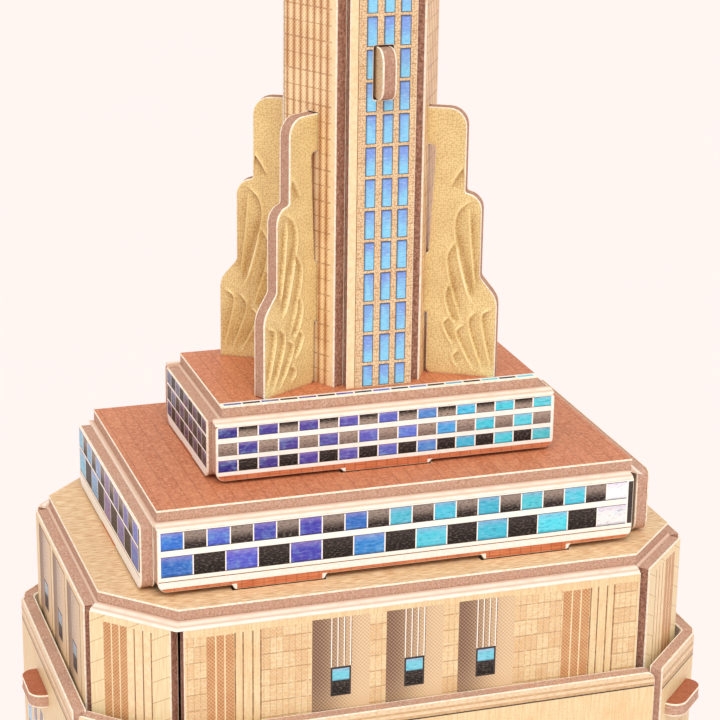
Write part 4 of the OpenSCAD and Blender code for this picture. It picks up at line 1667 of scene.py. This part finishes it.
base()
block("podium", columns=(22, 12), width=4.6, pitch=6.4)
block("lower", columns=(22, 12), width=3.4, pitch=4.9)
block("middle", columns=(18, 10), width=3.2, pitch=4.6)
portal("front_portal_card", "front_portal", -1)
portal("back_portal_card", "back_portal", 1)
shaft_floor(shaft_walls())
shaft_bay("shaft_left_bay_card", "shaft_left_bay", -1)
shaft_bay("shaft_right_bay_card", "shaft_right_bay", 1)
deck_tier()
band_tier()
cap_tier()
mast_wall("mast_front_wall_card", "mast_front_wall", 0)
mast_wall("mast_back_wall_card", "mast_back_wall", 3)
mast_brace()
mast_roof_outline = regular(MAST_R + BOARD / math.cos(math.pi / 6), 6, HEX_START)
plate("mast_roof_card", "mast_roof", "brown_roof_print", mast_roof_outline, "planks")
feathers = Feathers()
for wing_name, wing_side in (("front_right", 1), ("back_right", 2), ("back_left", 4), ("front_left", 5)):
    wing(f"wing_{wing_name}_card", f"wing_{wing_name}", wing_side, feathers)
crown()
plate("crown_roof_card", "crown_roof", "brown_roof_print", regular(CROWN_ROOF_R, 6, HEX_START), "planks")
for disc_name in ("dome_lower_disc", "dome_upper_disc"):
    disc = regular(span(disc_name)[1].x, DISC_SIDES)
    slot_hole = cross_slot(BLADE_STEPS[0][0] / 2)
    plate(f"{disc_name}_card", disc_name, "cream_stone_print", disc, "stone", [slot_hole])
antenna_blade("antenna_long_blade_card", "antenna_long_blade", (1, 0, 0), BLADE_STEPS)
antenna_blade("antenna_cross_blade_card", "antenna_cross_blade", (0, 1, 0), BLADE_STEPS[:2])

for cad_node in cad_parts.values():
    cad_node.data.materials.clear()
    cad_node.data.materials.append(LOOKS["plain"])


# ---------- floor, light and camera ----------

def studio_floor():
    """A wide pale floor, a fine grid of faces with a slight unevenness in its colour."""
    mesh = bpy.data.meshes.new("studio_floor")
    reach, cells = 30.0, 12
    points = [(reach * (2 * i / cells - 1), reach * (2 * j / cells - 1), 0.0)
              for j in range(cells + 1) for i in range(cells + 1)]
    faces = [(k, k + 1, k + cells + 2, k + cells + 1)
             for j in range(cells) for k in range(j * (cells + 1), j * (cells + 1) + cells)]
    mesh.from_pydata(points, [], faces)
    paint = Paint("studio_floor", 0.9, specular=0.1)
    cloud = paint.noise(paint.spot, 0.004, 2.0)
    mesh.materials.append(paint.colour(paint.mix(cloud, tone(250, 234, 232), tone(248, 232, 230))))
    floor = bpy.data.objects.new("studio_floor", mesh)
    bpy.context.scene.collection.objects.link(floor)


def away(azimuth, elevation):
    """Direction to a place around the object; azimuth 0 is its front, positive goes to its right."""
    a, e = math.radians(azimuth), math.radians(elevation)
    return Vector((math.sin(a) * math.cos(e), -math.cos(a) * math.cos(e), math.sin(e)))


def sun(name, azimuth, elevation, strength, softness, colour):
    """A soft distant lamp; its angles and its softness are in degrees."""
    lamp = bpy.data.lights.new(name, "SUN")
    lamp.energy = strength
    lamp.angle = math.radians(softness)
    lamp.color = colour
    made = bpy.data.objects.new(name, lamp)
    made.rotation_euler = away(azimuth, elevation).to_track_quat("Z", "Y").to_euler()
    bpy.context.scene.collection.objects.link(made)


def studio_world():
    """Even, faintly warm light from all round."""
    world = bpy.data.worlds.new("studio")
    world.use_nodes = True
    shade = world.node_tree.nodes["Background"]
    shade.inputs["Color"].default_value = (1.0, 0.975, 0.965, 1.0)
    shade.inputs["Strength"].default_value = 0.72
    bpy.context.scene.world = world


# The camera: angles in degrees, distance in mm, target's x and its height over the lower window tier
VIEW_AZIMUTH = -18.168
VIEW_ELEVATION = 19.007
VIEW_ROLL = 0.778
VIEW_DISTANCE = 335.36
VIEW_TARGET_X = 0.42
VIEW_TARGET_RISE = 11.2
LENS = 117.13


def photo_camera():
    """The view from the front left and above, on the upper tiers and the mast."""
    target = Vector((VIEW_TARGET_X, 0.0, span("band_tier")[1].z + VIEW_TARGET_RISE))
    back = away(VIEW_AZIMUTH, VIEW_ELEVATION)
    camera = bpy.data.cameras.new("camera")
    camera.lens = LENS
    camera.sensor_width = 36.0
    camera.clip_start = 0.01
    camera.clip_end = 100.0
    made = bpy.data.objects.new("camera", camera)
    made.location = (target + back * VIEW_DISTANCE) * MM
    made.rotation_euler = back.to_track_quat("Z", "Y").to_euler()
    made.rotation_euler.rotate_axis("Z", math.radians(VIEW_ROLL))
    bpy.context.scene.collection.objects.link(made)
    bpy.context.scene.camera = made


studio_floor()
studio_world()
sun("key", azimuth=-6, elevation=54, strength=1.5, softness=34, colour=(1.0, 0.98, 0.96))
sun("fill", azimuth=-60, elevation=35, strength=0.3, softness=60, colour=(1.0, 0.98, 0.97))
photo_camera()
bpy.context.scene.view_settings.view_transform = "Standard"
